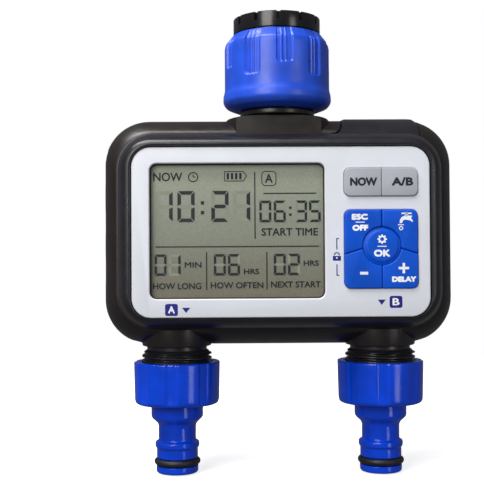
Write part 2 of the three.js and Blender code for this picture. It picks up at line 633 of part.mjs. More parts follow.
// Fixed neck that the collar swivels on, with its flanges inside and below the collar.
const inletNeck = () =>
  turned([
    [NECK.boreR, NECK.topZ],
    [NECK.sealR, NECK.topZ],
    [NECK.sealR, NECK.rimZ],
    [NECK.throatR, NECK.rimZ],
    [NECK.throatR, COLLAR_BEAD.underZ - GAP],
    [NECK_FLANGE.r, COLLAR_BEAD.underZ - GAP],
    [NECK_FLANGE.r, NECK_FLANGE.endZ],
    [NECK.r, NECK_FLANGE.endZ],
    [NECK.r, NECK_END_Z],
    [NECK.boreR, NECK_END_Z],
  ]);

// Collar under the neck, cross gallery and the two sockets that feed the valves, moulded in one piece.
function inletManifold() {
  const collar = alongZ(NECK.r, GALLERY_Z + 2, NECK_END_Z - GAP);
  const sockets = [-1, 1].flatMap((side) => [
    alongZ(SOCKET.r, SOCKET.endZ, SOCKET.topZ, side * OUTLET_X),
    alongZ(SOCKET.spigotR, SOCKET.spigotZ, SOCKET.endZ + 1, side * OUTLET_X),
  ]);
  const bores = [-1, 1].map((side) =>
    alongZ(GALLERY.boreR, SOCKET.spigotZ - CUT, GALLERY_Z, side * OUTLET_X, 0, SMALL_ROUND),
  );
  return carved(
    joined(collar, alongX(GALLERY.r, -OUTLET_X, OUTLET_X, 0, GALLERY_Z), ...sockets),
    alongZ(NECK.boreR, GALLERY_Z + 8, NECK_END_Z + CUT),
    alongZ(GALLERY.boreR, GALLERY_Z, GALLERY_Z + 9, 0, 0, SMALL_ROUND),
    alongX(GALLERY.boreR, -OUTLET_X, OUTLET_X, 0, GALLERY_Z, SMALL_ROUND),
    ...bores,
  );
}

// ---------------------------------------------------------------- valves, about the ball's centre
function valveBody() {
  const z = (world) => world - VALVE_Z;
  const thread = [];
  for (let i = 0; i < THREAD.turns; i++) {
    const top = z(THREAD.topZ) - i * THREAD.pitch;
    thread.push([THREAD.rootR, top], [THREAD.crestR, top - THREAD.pitch / 2]);
  }
  const profile = [
    [VALVE.chamberR, z(SOCKET.endZ - GAP)],
    [VALVE.r, z(SOCKET.endZ - GAP)],
    [VALVE.r, z(VALVE.floorZ - 3)],
    [VALVE.neckR, z(VALVE.floorZ - 3)],
    [VALVE.neckR, z(THREAD.topZ) + 0.4],
    ...thread,
    [THREAD.crestR, z(THREAD.endZ)],
    [VALVE.boreR, z(THREAD.endZ)],
    [VALVE.boreR, z(VALVE.floorZ)],
    [VALVE.chamberR, z(VALVE.floorZ)],
  ];
  const boss = alongX(4.4, VALVE.r - 1.5, BOSS_END, 0, 0);
  const bored = alongZ(VALVE.chamberR, z(VALVE.floorZ) + 1, z(SOCKET.endZ) - 1);
  return carved(joined(turned(profile), boss.subtract(bored)), alongX(STEM.r + GAP, 6, BOSS_END + CUT, 0, 0));
}

function valveBall() {
  const sphere = solidOf(new THREE.SphereGeometry(BALL.r, 16, 10).rotateX(90 * DEG));
  const slotY = STEM.tongue + GAP;
  return carved(
    sphere,
    alongY(BALL.boreR, -BALL.r - CUT, BALL.r + CUT, 0, 0),
    box(BALL.r - STEM.slotDepth - GAP, BALL.r + CUT, -slotY, slotY, -STEM.r - GAP, STEM.r + GAP),
  );
}

// A seat ring hollowed to the ball; up is +1 above the ball and -1 below it.
function valveSeat(up) {
  const cup = BALL.r + SEAT.clear;
  const outer = VALVE.chamberR - GAP;
  const steps = 3;
  const arc = [];
  for (let i = 0; i <= steps; i++) {
    const r = SEAT.boreR + ((outer - 0.4 - SEAT.boreR) * i) / steps;
    arc.push([r, up * Math.sqrt(cup * cup - r * r)]);
  }
  const rim = [[outer, up * SEAT.rimZ], [outer, up * SEAT.faceZ], [SEAT.boreR, up * SEAT.faceZ]];
  return turned([...arc, ...rim], SMALL_ROUND);
}

function valveStem() {
  const shaft = alongX(STEM.r, BALL.r + GAP, WHEEL_X + WHEEL_THICK + 0.6, 0, 0);
  const half = STEM.r - GAP;
  const tongue = box(BALL.r - STEM.slotDepth, BALL.r + 1, -STEM.tongue, STEM.tongue, -half, half);
  return shaft.add(tongue);
}

// An involute gear outline with one tooth centred at the angle given.
function gearOutline(teeth, toothAngle) {
  const pitchR = (GEAR.module * teeth) / 2;
  const baseR = pitchR * Math.cos(PRESSURE_ANGLE);
  const rootR = pitchR - GEAR.dedendum;
  const tipR = pitchR + GEAR.addendum;
  const involute = (r) => {
    const a = Math.acos(Math.min(1, baseR / r));
    return Math.tan(a) - a;
  };
  const pitchHalf = 90 / teeth * DEG - GEAR.backlash / (2 * pitchR);
  const half = (r) => pitchHalf + involute(pitchR) - involute(Math.max(r, baseR));
  const radii = [rootR, pitchR, tipR];
  const points = [];
  for (let i = 0; i < teeth; i++) {
    const centre = toothAngle + (i * 360 * DEG) / teeth;
    const at = (r, a) => new THREE.Vector2(r * Math.cos(a), r * Math.sin(a));
    for (const r of radii) points.push(at(r, centre - half(r)));
    for (const r of [...radii].reverse()) points.push(at(r, centre + half(r)));
  }
  return new THREE.Shape(points);
}

function driveWheel() {
  const wheel = slabAlongX(gearOutline(GEAR.wheelTeeth, -90 * DEG), WHEEL_X, WHEEL_X + WHEEL_THICK);
  return wheel.subtract(alongX(STEM.r + GAP, WHEEL_X - CUT, WHEEL_X + WHEEL_THICK + CUT, 0, 0));
}

function motorPinion() {
  const phase = 90 * DEG + (180 * DEG) / GEAR.pinionTeeth;
  const pinion = slabAlongX(gearOutline(GEAR.pinionTeeth, phase), WHEEL_X, WHEEL_X + WHEEL_THICK);
  const shaft = alongX(MOTOR.shaftR, WHEEL_X + 1, MOTOR.start - GAP, 0, 0, 12);
  return pinion.add(shaft).translate([0, 0, -GEAR_CENTRES]);
}

function motorCan() {
  const end = MOTOR.start + MOTOR.length;
  const can = alongX(MOTOR.r, MOTOR.start, end - 1, 0, -GEAR_CENTRES, 20);
  return can.add(alongX(MOTOR.r - 2.4, end - 2, end, 0, -GEAR_CENTRES));
}

// One saddle under both motors, standing on the floor of the rear shell.
function motorCradle() {
  const { w, d, bottom, arch, top, leg } = CRADLE;
  return carved(
    box(-w, w, -d, d, bottom, top),
    alongX(MOTOR.r + GAP, -w - CUT, w + CUT, 0, VALVE_Z - GEAR_CENTRES, 20),
    box(leg - w, w - leg, -d - CUT, d + CUT, bottom - CUT, arch),
  );
}

// ---------------------------------------------------------------- outlet connectors
// Half-circle of a bead or a groove, from below to above its centre.
function halfRound(r, z, radius, from, to, steps = 6) {
  const points = [];
  for (let i = 0; i <= steps; i++) {
    const a = from + ((to - from) * i) / steps;
    points.push([r + radius * Math.cos(a), z + radius * Math.sin(a)]);
  }
  return points;
}

function outletConnector() {
  const grooveR = O_RING.r - O_RING.section - GAP;
  const grooveHalf = O_RING.section / 2 + GAP;
  return turned([
    [NUT.boreR, NUT.topZ],
    [NUT.r, NUT.topZ],
    [NUT.endR, NUT.endZ + NUT.round],
    [NUT.endR - 0.5, NUT.endZ + 0.5],
    [NUT.endR - NUT.round, NUT.endZ],
    [NIPPLE_FLANGE.r, NUT.endZ],
    [NIPPLE_FLANGE.r, NIPPLE_FLANGE.endZ],
    [NIPPLE_NECK.r, NIPPLE_NECK.topZ],
    [NIPPLE_NECK.r, NIPPLE_NECK.endZ],
    [NIPPLE_BEAD.r, NIPPLE_BEAD.z + 0.7],
    [NIPPLE_BEAD.r, NIPPLE_BEAD.z - 0.7],
    [NIPPLE_END.barrelR, NIPPLE_BEAD.z - 1.4],
    [NIPPLE_END.barrelR, O_RING.z + grooveHalf],
    [grooveR, O_RING.z + grooveHalf],
    [grooveR, O_RING.z - grooveHalf],
    [NIPPLE_END.r, O_RING.z - grooveHalf],
    [NIPPLE_END.r, NIPPLE_END.z + NIPPLE_END.chamfer],
    [NIPPLE_END.r - NIPPLE_END.chamfer, NIPPLE_END.z],
    [NIPPLE_BORE_R, NIPPLE_END.z],
    [NIPPLE_BORE_R, NUT.floorZ],
    [NUT.boreR, NUT.floorZ],
  ]);
}

function connectorORing() {
  const radius = O_RING.section / 2;
  return turned(halfRound(O_RING.r - radius, O_RING.z, radius, 0, 360 * DEG, 6).slice(0, -1));
}

// ---------------------------------------------------------------- assembly
const housing = grouped([
  named("front_shell", BLACK_PLASTIC, frontShell()),
  named("rear_shell", BLACK_PLASTIC, rearShell()),
  named("grip_left", GRIP_RUBBER, grip(SIDES.left)),
  named("grip_right", GRIP_RUBBER, grip(SIDES.right)),
  named("housing_gasket", SEAL_RUBBER, housingGasket()),
  named("fascia_panel", WHITE_PLASTIC, fasciaPanel()),
  named("display_lens", CLEAR, lensPanel()),
  named("lcd_module", DISPLAY, lcdPanel()),
  named("keypad_membrane", SEAL_RUBBER, keypadMembrane()),
  named("circuit_board", BOARD_GREEN, circuitBoard()),
  named("key_now", GREY_KEY, greyKey(SIDES.left)),
  named("key_a_b", GREY_KEY, greyKey(SIDES.right)),
  named("key_esc_off", BLUE_KEY, blueKey(SIDES.left, 1)),
  named("key_manual", BLUE_KEY, blueKey(SIDES.right, 1)),
  named("key_minus", BLUE_KEY, blueKey(SIDES.left, -1)),
  named("key_plus", BLUE_KEY, blueKey(SIDES.right, -1)),
  named("key_ok", BLUE_KEY, okKey()),
  ...screwPlaces.map((place, i) => named(`housing_screw_${i + 1}`, STEEL, housingScrew(place))),
], 0, 0, HOUSING_Z);

const plateX = CELL.half + GAP;
const [lowCellZ, highCellZ] = [BATTERY_Z - CELL.z, BATTERY_Z + CELL.z];
const plateFor = (x, lowZ, highZ) => contactPlate(x, lowZ - CONTACT.high, highZ + CONTACT.high);
const batteryDrawer = grouped([
  named("battery_cover", BLACK_PLASTIC, batteryCover()),
  named("battery_tray", BLACK_PLASTIC, batteryTray()),
  named("battery_seal", SEAL_RUBBER, batterySeal()),
  named("battery_1", CELL_SLEEVE, batteryCell(1)),
  named("battery_2", CELL_SLEEVE, batteryCell(-1)),
  named("contact_plus", BRASS, plateFor(plateX, lowCellZ, lowCellZ)),
  named("contact_minus", BRASS, plateFor(plateX, highCellZ, highCellZ)),
  named("contact_bridge", BRASS, plateFor(-plateX - CONTACT.thick, lowCellZ, highCellZ)),
], 0, 0, HOUSING_Z);

const inlet = grouped([
  named("inlet_neck", BLACK_PLASTIC, inletNeck()),
  named("inlet_manifold", BLACK_PLASTIC, inletManifold()),
  named("inlet_collar", BLUE_SATIN, inletCollar()),
  named("swivel_seal", SEAL_RUBBER, ringOf(9.6, 14.6, NECK.topZ + GAP, REDUCER.endZ - GAP)),
  named("inlet_reducer", BLACK_GLOSS, inletReducer()),
  named("inlet_filter", NATURAL_PLASTIC, inletFilter()),
  named("tap_washer", SEAL_RUBBER, ringOf(8, REDUCER.boreR - GAP, REDUCER.seatZ + 1.4, REDUCER.seatZ + 3.4)),
  named("motor_cradle", NATURAL_PLASTIC, motorCradle()),
]);

// Outlet A is on the left and outlet B, turned half round so that its drive faces the middle, on the right.
const outlets = [["a", -1], ["b", 1]].map(([letter, side]) => {
  const valve = grouped([
    named(`valve_body_${letter}`, BLACK_PLASTIC, valveBody()),
    named(`valve_ball_${letter}`, NATURAL_PLASTIC, valveBall()),
    named(`valve_seat_upper_${letter}`, NATURAL_PLASTIC, valveSeat(1)),
    named(`valve_seat_lower_${letter}`, NATURAL_PLASTIC, valveSeat(-1)),
    named(`valve_stem_${letter}`, STEEL, valveStem()),
    named(`drive_wheel_${letter}`, NATURAL_PLASTIC, driveWheel()),
    named(`motor_pinion_${letter}`, BRASS, motorPinion()),
    named(`motor_${letter}`, STEEL, motorCan()),
  ], 0, 0, VALVE_Z, side > 0 ? Math.PI : 0);
  const connector = grouped([
    named(`outlet_connector_${letter}`, BLUE_PLASTIC, outletConnector()),
    named(
      `outlet_washer_${letter}`,
      SEAL_RUBBER,
      ringOf(OUTLET_WASHER.boreR, OUTLET_WASHER.r, OUTLET_WASHER.endZ, OUTLET_WASHER.topZ),
    ),
    named(`connector_o_ring_${letter}`, SEAL_RUBBER, connectorORing()),
  ]);
  return grouped([valve, connector], side * OUTLET_X);
});

const timer = new THREE.Group();
timer.add(housing, batteryDrawer, inlet, ...outlets);
export default timer;
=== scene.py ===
"""Visual model of a two-outlet drip irrigation timer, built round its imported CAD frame.

Lengths are millimetres until a mesh is made, where MM turns them into metres. Housing pieces are drawn about
the housing's centre and moved by HOUSING_Z; inlet and outlet pieces are drawn about their own vertical axes.
"""

import math
from types import SimpleNamespace as Sizes

import bmesh
import bpy
import numpy as np
from mathutils import Matrix, Vector

import json


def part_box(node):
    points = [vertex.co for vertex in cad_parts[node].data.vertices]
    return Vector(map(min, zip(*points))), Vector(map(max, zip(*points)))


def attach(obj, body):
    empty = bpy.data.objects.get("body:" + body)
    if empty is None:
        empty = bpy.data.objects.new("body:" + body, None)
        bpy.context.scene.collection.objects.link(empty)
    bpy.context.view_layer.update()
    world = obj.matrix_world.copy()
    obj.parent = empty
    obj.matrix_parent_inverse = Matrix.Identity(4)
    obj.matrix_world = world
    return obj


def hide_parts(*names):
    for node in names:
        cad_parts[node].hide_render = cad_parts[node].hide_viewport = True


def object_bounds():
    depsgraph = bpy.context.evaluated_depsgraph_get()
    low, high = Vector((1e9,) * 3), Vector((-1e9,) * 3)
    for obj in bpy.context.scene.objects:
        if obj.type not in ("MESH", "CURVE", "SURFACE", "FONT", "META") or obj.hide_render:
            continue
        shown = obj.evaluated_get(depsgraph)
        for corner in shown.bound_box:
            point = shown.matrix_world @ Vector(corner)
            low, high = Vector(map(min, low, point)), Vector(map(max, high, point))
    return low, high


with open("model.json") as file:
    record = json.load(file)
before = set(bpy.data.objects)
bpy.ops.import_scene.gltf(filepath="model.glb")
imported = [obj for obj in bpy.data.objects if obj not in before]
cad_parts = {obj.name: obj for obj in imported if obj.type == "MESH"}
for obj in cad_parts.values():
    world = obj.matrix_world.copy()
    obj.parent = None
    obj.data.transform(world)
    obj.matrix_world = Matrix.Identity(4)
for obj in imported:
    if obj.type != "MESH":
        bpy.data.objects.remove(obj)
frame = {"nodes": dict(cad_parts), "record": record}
cad_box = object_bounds()
scene = bpy.context.scene

# ---------------------------------------------------------------- driving dimensions
# These are the CAD frame's, apart from closer gaps round the keys.
MM = 0.001
GAP = 0.3
HALF_W = 65.8
HALF_H = 42.4
CORNER_R = 17.0
CORNER_SHRINK = 0.45
WALL = 2.6
FRONT_Y = -23.4
BEZEL_Y = -24.2
SEAM_Y = -12.0
BACK_Y = 29.0
SHOULDER = Sizes(y=2.0, depth=16.5, inset=12.6)
BACK_ROUND = Sizes(y=15.0, depth=14.5, inset=9.5)
BEZEL = Sizes(y=SEAM_Y, w=59.4, h=35.7, r=13.4, depth=12.6, inset=5.4)
BEZEL_WALL = 3.2
INLET_BOSS = Sizes(r=19.6, rise=0.7)
OUTLET_BOSS = Sizes(r=13.1, top_z=-36.3, rise=0.4)
TAB = Sizes(left=24.0, foot=19.3, foot_z=36.0, right=52.2, back=4.0, rise=0.7)
GRIP = Sizes(right_top_x=53.8, left_top_z=31.0, bottom_x=52.0, front=-3.0, back=19.0, thick=1.1)
GRIP_NOTCHES = (22.6, 3.7, -13.8)
FASCIA = Sizes(left=-53.4, right=53.4, top=29.8, bottom=-31.2, corner=7.0)
FASCIA_THICK = 1.8
LEDGE = 2.2
WINDOW = Sizes(left=-47.0, right=15.8, top=24.0, bottom=-24.5, corner=2.5)
GREY_KEYS = Sizes(left=22.6, right=49.0, top=22.1, bottom=11.9, corner=2.2)
BLUE_KEYS = Sizes(left=22.6, right=49.0, top=7.1, bottom=-21.1, corner=2.3)
KEY_X = 36.0
KEY_PROUD = 0.9
KEY_FRONT_Y = FRONT_Y - KEY_PROUD
CAP_Y = KEY_FRONT_Y + 0.02
KEY_BACK_Y = -20.0
KEY_GAP = 0.06
OK_KEY = Sizes(z=-6.0, r=5.65, skirt_r=6.75, clear_r=6.85)
GROOVE_SLOPE = 0.316
GROOVE_Z = -4.7
LENS = Sizes(y=-21.3, thick=0.8, overlap=1.5)
LCD_Y = -20.2
SCREW = Sizes(x=54.5, z=25.0, head_r=2.6, head_y=3.0, shank_r=1.4, post_r=4.0)
BATTERY_Z = -3.1
COVER = Sizes(w=33.0, h=21.0, r=4.0, thick=2.6)
TRAY = Sizes(w=28.6, h=16.4, front=9.6)
CELL = Sizes(r=7.1, half=25.0, nub_r=2.7, nub=1.2, y=17.3, z=7.4)
OUTLET_X = 38.6
REDUCER = Sizes(
    r=16.5, head_z=-5.8, thread_r=15.5, bore_r=12.1, seat_z=-15.8, end_z=-19.0, hole_r=8.5
)
COLLAR = Sizes(top_r=16.9, top_z=-6.3, chamfer_r=19.7, chamfer_z=-9.9, wall_r=19.9, wall_z=-27.4)
COLLAR_BEAD = Sizes(r=20.56, z=-31.6, under_r=14.4, under_z=-35.1)
SLOT = Sizes(count=10, turn=6.0, half=3.1, depth=0.8, long=-23.5, short=-19.5, corner=1.4)
NECK = Sizes(
    top_z=-21.3, seal_r=14.6, rim_z=-24.3, throat_r=11.5, flange_r=14.1, flange_z=-37.4, r=10.4,
    end_z=-49.7, bore_r=8.8
)
CASTLE = Sizes(count=12, half=0.7, deep=1.6, high=3.2)
VALVE = Sizes(
    r=11.5, top_z=-70.3, step_z=-97.3, neck_r=11.3, chamber_r=9.0, floor_z=-94.3, bore_r=6.0
)
STEM_BOSS = Sizes(z=-85.0, r=4.4, start=10.0, end=13.3, bore_r=2.3)
THREAD = Sizes(crest_r=13.2, root_r=12.1, pitch=1.814, top_z=-125.6, end_z=-141.4)
NUT = Sizes(r=16.26, end_r=15.9, top_z=-129.65, end_z=-145.6, bore_r=13.5, floor_z=-143.9)
NIPPLE = Sizes(
    flange_r=9.8, flange_z=-150.6, neck_r=7.06, neck_top=-153.2, neck_end=-159.3, bead_r=8.3,
    bead_z=-160.8, barrel_r=7.75, end_r=7.9, end_z=-171.5, bore_r=4.6
)
O_RING = Sizes(r=8.7, section=2.4, z=-167.3)

HOUSING_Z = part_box("front_shell")[0].z / MM + BEZEL.h
SIDES = {"left": -1, "right": 1}

# ---------------------------------------------------------------- colours, as seen on screen
BLACK = (29, 28, 33)
# painted reflection: black plastic with a brown reflection painted into its colour, worn by the rear pieces
# instead of plain BLACK
BLACK_WITH_BROWN_REFLECTION = (30, 23, 22)
FASCIA_WHITE = (224, 227, 236)
KEY_BLUE = (0, 80, 202)
KEY_GREY = (168, 171, 180)
COLLAR_BLUE = (32, 78, 206)
FITTING_BLUE = (0, 66, 216)
PRINT_NAVY = (12, 24, 128)
PRINT_BLACK = (22, 24, 34)
PRINT_WHITE = (244, 247, 255)
LCD_INK = (14, 20, 28)
LCD_GHOST = (140, 147, 130)


def linear(rgb):
    """A screen colour from 0 to 255 as linear light, with full alpha."""
    def channel(value):
        c = value / 255
        return c / 12.92 if c <= 0.04045 else ((c + 0.055) / 1.055) ** 2.4
    return (*[channel(value) for value in rgb], 1.0)


# ---------------------------------------------------------------- materials
class Nodes:
    """A node tree being built for one material, from its object coordinates on."""

    def __init__(self, name):
        self.material = bpy.data.materials.new(name)
        self.material.use_nodes = True
        self.tree = self.material.node_tree
        self.shader = self.tree.nodes["Principled BSDF"]
        self.place = self.add("ShaderNodeTexCoord").outputs["Object"]

    def add(self, kind, **values):
        node = self.tree.nodes.new(kind)
        for key, value in values.items():
            setattr(node, key, value)
        return node

    def link(self, source, target):
        self.tree.links.new(source, target)

    def noise(self, size, detail=2.0, stretch=(1, 1, 1)):
        """Noise whose blotches are about size millimetres across."""
        mapping = self.add("ShaderNodeMapping")
        mapping.inputs["Scale"].default_value = stretch
        self.link(self.place, mapping.inputs["Vector"])
        texture = self.add("ShaderNodeTexNoise")
        texture.inputs["Scale"].default_value = 1 / (size * MM)
        texture.inputs["Detail"].default_value = detail
        self.link(mapping.outputs["Vector"], texture.inputs["Vector"])
        return texture.outputs["Fac"]

    def spread(self, value, low, high):
        """Maps the middle of a noise to the range low to high."""
        node = self.add("ShaderNodeMapRange")
        node.inputs["From Min"].default_value = 0.3
        node.inputs["From Max"].default_value = 0.7
        node.inputs["To Min"].default_value = low
        node.inputs["To Max"].default_value = high
        self.link(value, node.inputs["Value"])
        return node.outputs["Result"]

    def ramp(self, value, stops):
        node = self.add("ShaderNodeValToRGB")
        elements = node.color_ramp.elements
        while len(elements) < len(stops):
            elements.new(0.5)
        for element, (position, rgb) in zip(elements, stops):
            element.position = position
            element.color = linear(rgb)
        self.link(value, node.inputs["Fac"])
        return node.outputs["Color"]

    def across(self, axis, low, high):
        """How far along an axis a point lies between two places in metres, from 0 to 1."""
        split = self.add("ShaderNodeSeparateXYZ")
        self.link(self.place, split.inputs["Vector"])
        node = self.add("ShaderNodeMapRange")
        node.inputs["From Min"].default_value = low
        node.inputs["From Max"].default_value = high
        self.link(split.outputs[axis], node.inputs["Value"])
        return node.outputs["Result"]

    def colour(self, value):
        self.link(value, self.shader.inputs["Base Color"])

    def gloss(self, value):
        self.link(value, self.shader.inputs["Roughness"])

    def bump(self, height, depth):
        node = self.add("ShaderNodeBump")
        node.inputs["Strength"].default_value = 1.0
        node.inputs["Distance"].default_value = depth * MM
        self.link(height, node.inputs["Height"])
        self.link(node.outputs["Normal"], self.shader.inputs["Normal"])

    def set(self, **values):
        for key, value in values.items():
            self.shader.inputs[key.replace("_", " ")].default_value = value


def tone(rgb, factor):
    return tuple(min(255, channel * factor) for channel in rgb)


def moulded(name, rgb, roughness, grain=0.35, depth=0.012, variation=0.06, spread=0.05, **extra):
    """Moulded plastic: faint blotches of colour and gloss over a fine spark-eroded grain."""
    nodes = Nodes(name)
    blotches = nodes.noise(9.0, 3.0)
    nodes.colour(nodes.ramp(blotches, [(0.3, tone(rgb, 1 - variation)), (0.7, tone(rgb, 1 + variation))]))
    nodes.gloss(nodes.spread(nodes.noise(4.0, 4.0), roughness - spread, roughness + spread))
    nodes.bump(nodes.noise(grain, 2.0), depth)
    nodes.set(**extra)
    return nodes.material


def ink(name, rgb, roughness=0.45):
    """Screen-printed ink, a little uneven in cover."""
    return moulded(name, rgb, roughness, grain=0.2, depth=0.004, variation=0.04, spread=0.04)


def display_glass():
    """Reflective backing of the display, with painted light and shade: pale and greenish at the top, browner
    and darker lower down.
    """
    nodes = Nodes("lcd_backing")
    low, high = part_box("lcd_module")
    height = nodes.across("Z", low.z, high.z)
    # painted light and shade: the backing is lighter towards the top and darker towards the bottom
    stops = [(0.0, (114, 108, 91)), (0.35, (134, 137, 122)), (0.7, (152, 159, 143)), (1.0, (176, 181, 162))]
    base = nodes.ramp(height, stops)
    speck = nodes.ramp(nodes.noise(0.5, 2.0), [(0.3, (236, 236, 236)), (0.7, (255, 255, 255))])
    mix = nodes.add("ShaderNodeMix", data_type="RGBA", blend_type="MULTIPLY")
    mix.inputs["Factor"].default_value = 1.0
    nodes.link(base, mix.inputs["A"])
    nodes.link(speck, mix.inputs["B"])
    nodes.colour(mix.outputs["Result"])
    nodes.set(Roughness=0.42)
    nodes.bump(nodes.noise(0.4, 2.0), 0.003)
    return nodes.material


def clear_window():
    """Clear window over the display, with a faint haze."""
    nodes = Nodes("clear_window")
    nodes.gloss(nodes.spread(nodes.noise(6.0), 0.03, 0.09))
    nodes.set(Base_Color=linear((120, 126, 120)), Alpha=0.03, IOR=1.5)
    nodes.material.blend_method = "BLEND"
    return nodes.material


def brushed(name, rgb, roughness, along=(1, 1, 1)):
    """Plated or drawn metal with fine streaks."""
    nodes = Nodes(name)
    streaks = nodes.noise(0.5, 4.0, along)
    nodes.colour(nodes.ramp(streaks, [(0.3, tone(rgb, 0.88)), (0.7, rgb)]))
    nodes.gloss(nodes.spread(streaks, roughness - 0.06, roughness + 0.08))
    nodes.bump(streaks, 0.006)
    nodes.set(Metallic=1.0)
    return nodes.material


def circuit_laminate():
    """Green solder mask over faint copper tracks."""
    nodes = Nodes("circuit_laminate")
    cells = nodes.add("ShaderNodeTexVoronoi", feature="DISTANCE_TO_EDGE", distance="CHEBYCHEV")
    cells.inputs["Scale"].default_value = 400
    nodes.link(nodes.place, cells.inputs["Vector"])
    nodes.colour(nodes.ramp(cells.outputs["Distance"], [(0.04, (46, 128, 78)), (0.12, (24, 84, 50))]))
    nodes.bump(cells.outputs["Distance"], 0.02)
    nodes.set(Roughness=0.38)
    return nodes.material


def cell_sleeve():
    """Shrink sleeve of an AA cell: dark, with a paler band towards one end."""
    nodes = Nodes("cell_sleeve")
    along = nodes.across("X", -CELL.half * MM, CELL.half * MM)
    bands = [(0.0, (64, 70, 80)), (0.66, (64, 70, 80)), (0.68, (186, 190, 196)), (0.8, (64, 70, 80))]
    nodes.colour(nodes.ramp(along, bands))
    nodes.gloss(nodes.spread(nodes.noise(5.0), 0.22, 0.34))
    return nodes.material


MATERIALS = {
    "black_plastic": moulded("black_shell", BLACK, 0.32, grain=0.5, depth=0.02, variation=0.12),
    # the same black plastic as the front shell, with a brown reflection painted into its colour
    "rear_black_with_reflection": moulded("black_shell_with_brown_reflection", BLACK_WITH_BROWN_REFLECTION, 0.38, grain=0.5, depth=0.02, variation=0.12),
    "grip_rubber": moulded("soft_grip", (40, 35, 35), 0.55, grain=0.4, depth=0.03, variation=0.1),
    "black_gloss": moulded("polished_black", (22, 21, 24), 0.2, depth=0.003, spread=0.03),
    "white_plastic": moulded("fascia_white", FASCIA_WHITE, 0.34, depth=0.004, variation=0.008),
    "grey_key": moulded("grey_key", KEY_GREY, 0.5, depth=0.012, variation=0.02),
    "blue_key": moulded("blue_key", KEY_BLUE, 0.46, depth=0.01, variation=0.05, Specular_IOR_Level=0.25),
    "blue_satin": moulded("collar_blue", COLLAR_BLUE, 0.36, grain=0.6, depth=0.014, variation=0.07),
    "blue_gloss": moulded("fitting_blue", FITTING_BLUE, 0.2, depth=0.006, variation=0.06, spread=0.04),
    "seal_rubber": moulded("seal_rubber", (26, 26, 30), 0.5, depth=0.02),
    "natural_plastic": moulded("natural_plastic", (234, 230, 218), 0.42, variation=0.03),
    "display": display_glass(),
    "clear_lens": clear_window(),
    "steel": brushed("plated_steel", (196, 199, 205), 0.3, (1, 6, 6)),
    "brass": brushed("brass_strip", (206, 172, 92), 0.28, (1, 1, 8)),
    "board": circuit_laminate(),
    "cell_sleeve": cell_sleeve(),
}
INKS = {
    "white": ink("white_print", PRINT_WHITE),
    "black": ink("black_print", PRINT_BLACK),
    "navy": ink("navy_print", PRINT_NAVY),
    "dark": ink("display_segment_on", LCD_INK, 0.4),
    "ghost": ink("display_segment_off", LCD_GHOST, 0.4),
    # dark brown of the ring round the display: partly a dark frame, partly painted shade in the window's
    # recess
    "mask": ink("window_mask_and_painted_shade", (58, 44, 38), 0.5),
}


# ---------------------------------------------------------------- meshes
def new_object(name, points, faces, lift=0.0, across=0.0):
    """A mesh object from points in millimetres, facing out, moved by lift in Z and across in X."""
    mesh = bpy.data.meshes.new(name)
    placed = (np.asarray(points, float) + (across, 0.0, lift)) * MM
    mesh.from_pydata(placed.tolist(), [], faces)
    work = bmesh.new()
    work.from_mesh(mesh)
    bmesh.ops.remove_doubles(work, verts=work.verts, dist=1e-7)
    bmesh.ops.recalc_face_normals(work, faces=work.faces)
    work.to_mesh(mesh)
    work.free()
    obj = bpy.data.objects.new(name, mesh)
    scene.collection.objects.link(obj)
    return obj


def loft(rings, around=False):
    """Points and faces over a stack of rings; around joins the last to the first, or both ends are capped."""
    count = len(rings[0])
    last = len(rings) if around else len(rings) - 1
    faces = []
    for s in range(last):
        a, b = s * count, ((s + 1) % len(rings)) * count
        for i in range(count):
            j = (i + 1) % count
            faces.append((a + i, a + j, b + j, b + i))
    if not around:
        faces.append(tuple(range(count)))
        faces.append(tuple(range((len(rings) - 1) * count, len(rings) * count)))
    return np.concatenate(rings), faces


def skin(name, rings, around=False, **where):
    """A mesh object over a stack of closed rings."""
    points, faces = loft(rings, around)
    return new_object(name, points, faces, **where)


def outline(rect, grow=0.0, steps=10):
    """Points of a rounded rectangle in X and Z, with steps to each corner."""
    r = max(rect.corner + grow, 0.05)
    right, left = rect.right + grow - r, rect.left - grow + r
    top, bottom = rect.top + grow - r, rect.bottom - grow + r
    centres = ((right, top), (left, top), (left, bottom), (right, bottom))
    points = []
    for corner, (x, z) in enumerate(centres):
        for i in range(steps + 1):
            a = (corner + i / steps) * math.pi / 2
            points.append((x + r * math.cos(a), z + r * math.sin(a)))
    return np.array(points)


def unit_circle(steps):
    turns = np.arange(steps) * 2 * math.pi / steps
    return np.column_stack([np.cos(turns), np.sin(turns)])


def standing(points, y):
    """Points in X and Z, stood up at depth y."""
    return np.column_stack([points[:, 0], np.full(len(points), y), points[:, 1]])


def plate(name, rect, stations, steps=10, lift=None):
    """A slab with its outline grown by a different amount at each depth: stations are (y, grow) pairs."""
    rings = [standing(outline(rect, grow, steps), y) for y, grow in stations]
    return skin(name, rings, lift=HOUSING_Z if lift is None else lift)


def prism(name, points, y0, y1, lift=None):
    """A flat outline in X and Z, standing from y0 to y1."""
    points = np.asarray(points, float)
    return skin(name, [standing(points, y0), standing(points, y1)], lift=HOUSING_Z if lift is None else lift)


def centred(w, h, r, z=0.0):
    return Sizes(left=-w, right=w, top=z + h, bottom=z - h, corner=r)


def block(name, x0, x1, y0, y1, z0, z1, lift=None):
    return prism(name, [(x0, z0), (x1, z0), (x1, z1), (x0, z1)], y0, y1, lift)


def peg(name, x, z, r, y0, y1, steps=48):
    """A round bar along Y, in housing coordinates."""
    return prism(name, unit_circle(steps) * r + (x, z), y0, y1)


def turned(name, profile, steps=128, shape=None, around=True, across=0.0):
    """Turns a profile of (radius, z) pairs about Z; shape may change the radii at each angle."""
    profile = np.asarray(profile, float)
    angles = np.arange(steps) * 2 * math.pi / steps
    rings = []
    for r, z in profile:
        radii = np.full(steps, r) if shape is None else shape(r, z, angles)
        rings.append(np.column_stack([radii * np.cos(angles), radii * np.sin(angles), np.full(steps, z)]))
    return skin(name, rings, around=around, across=across)


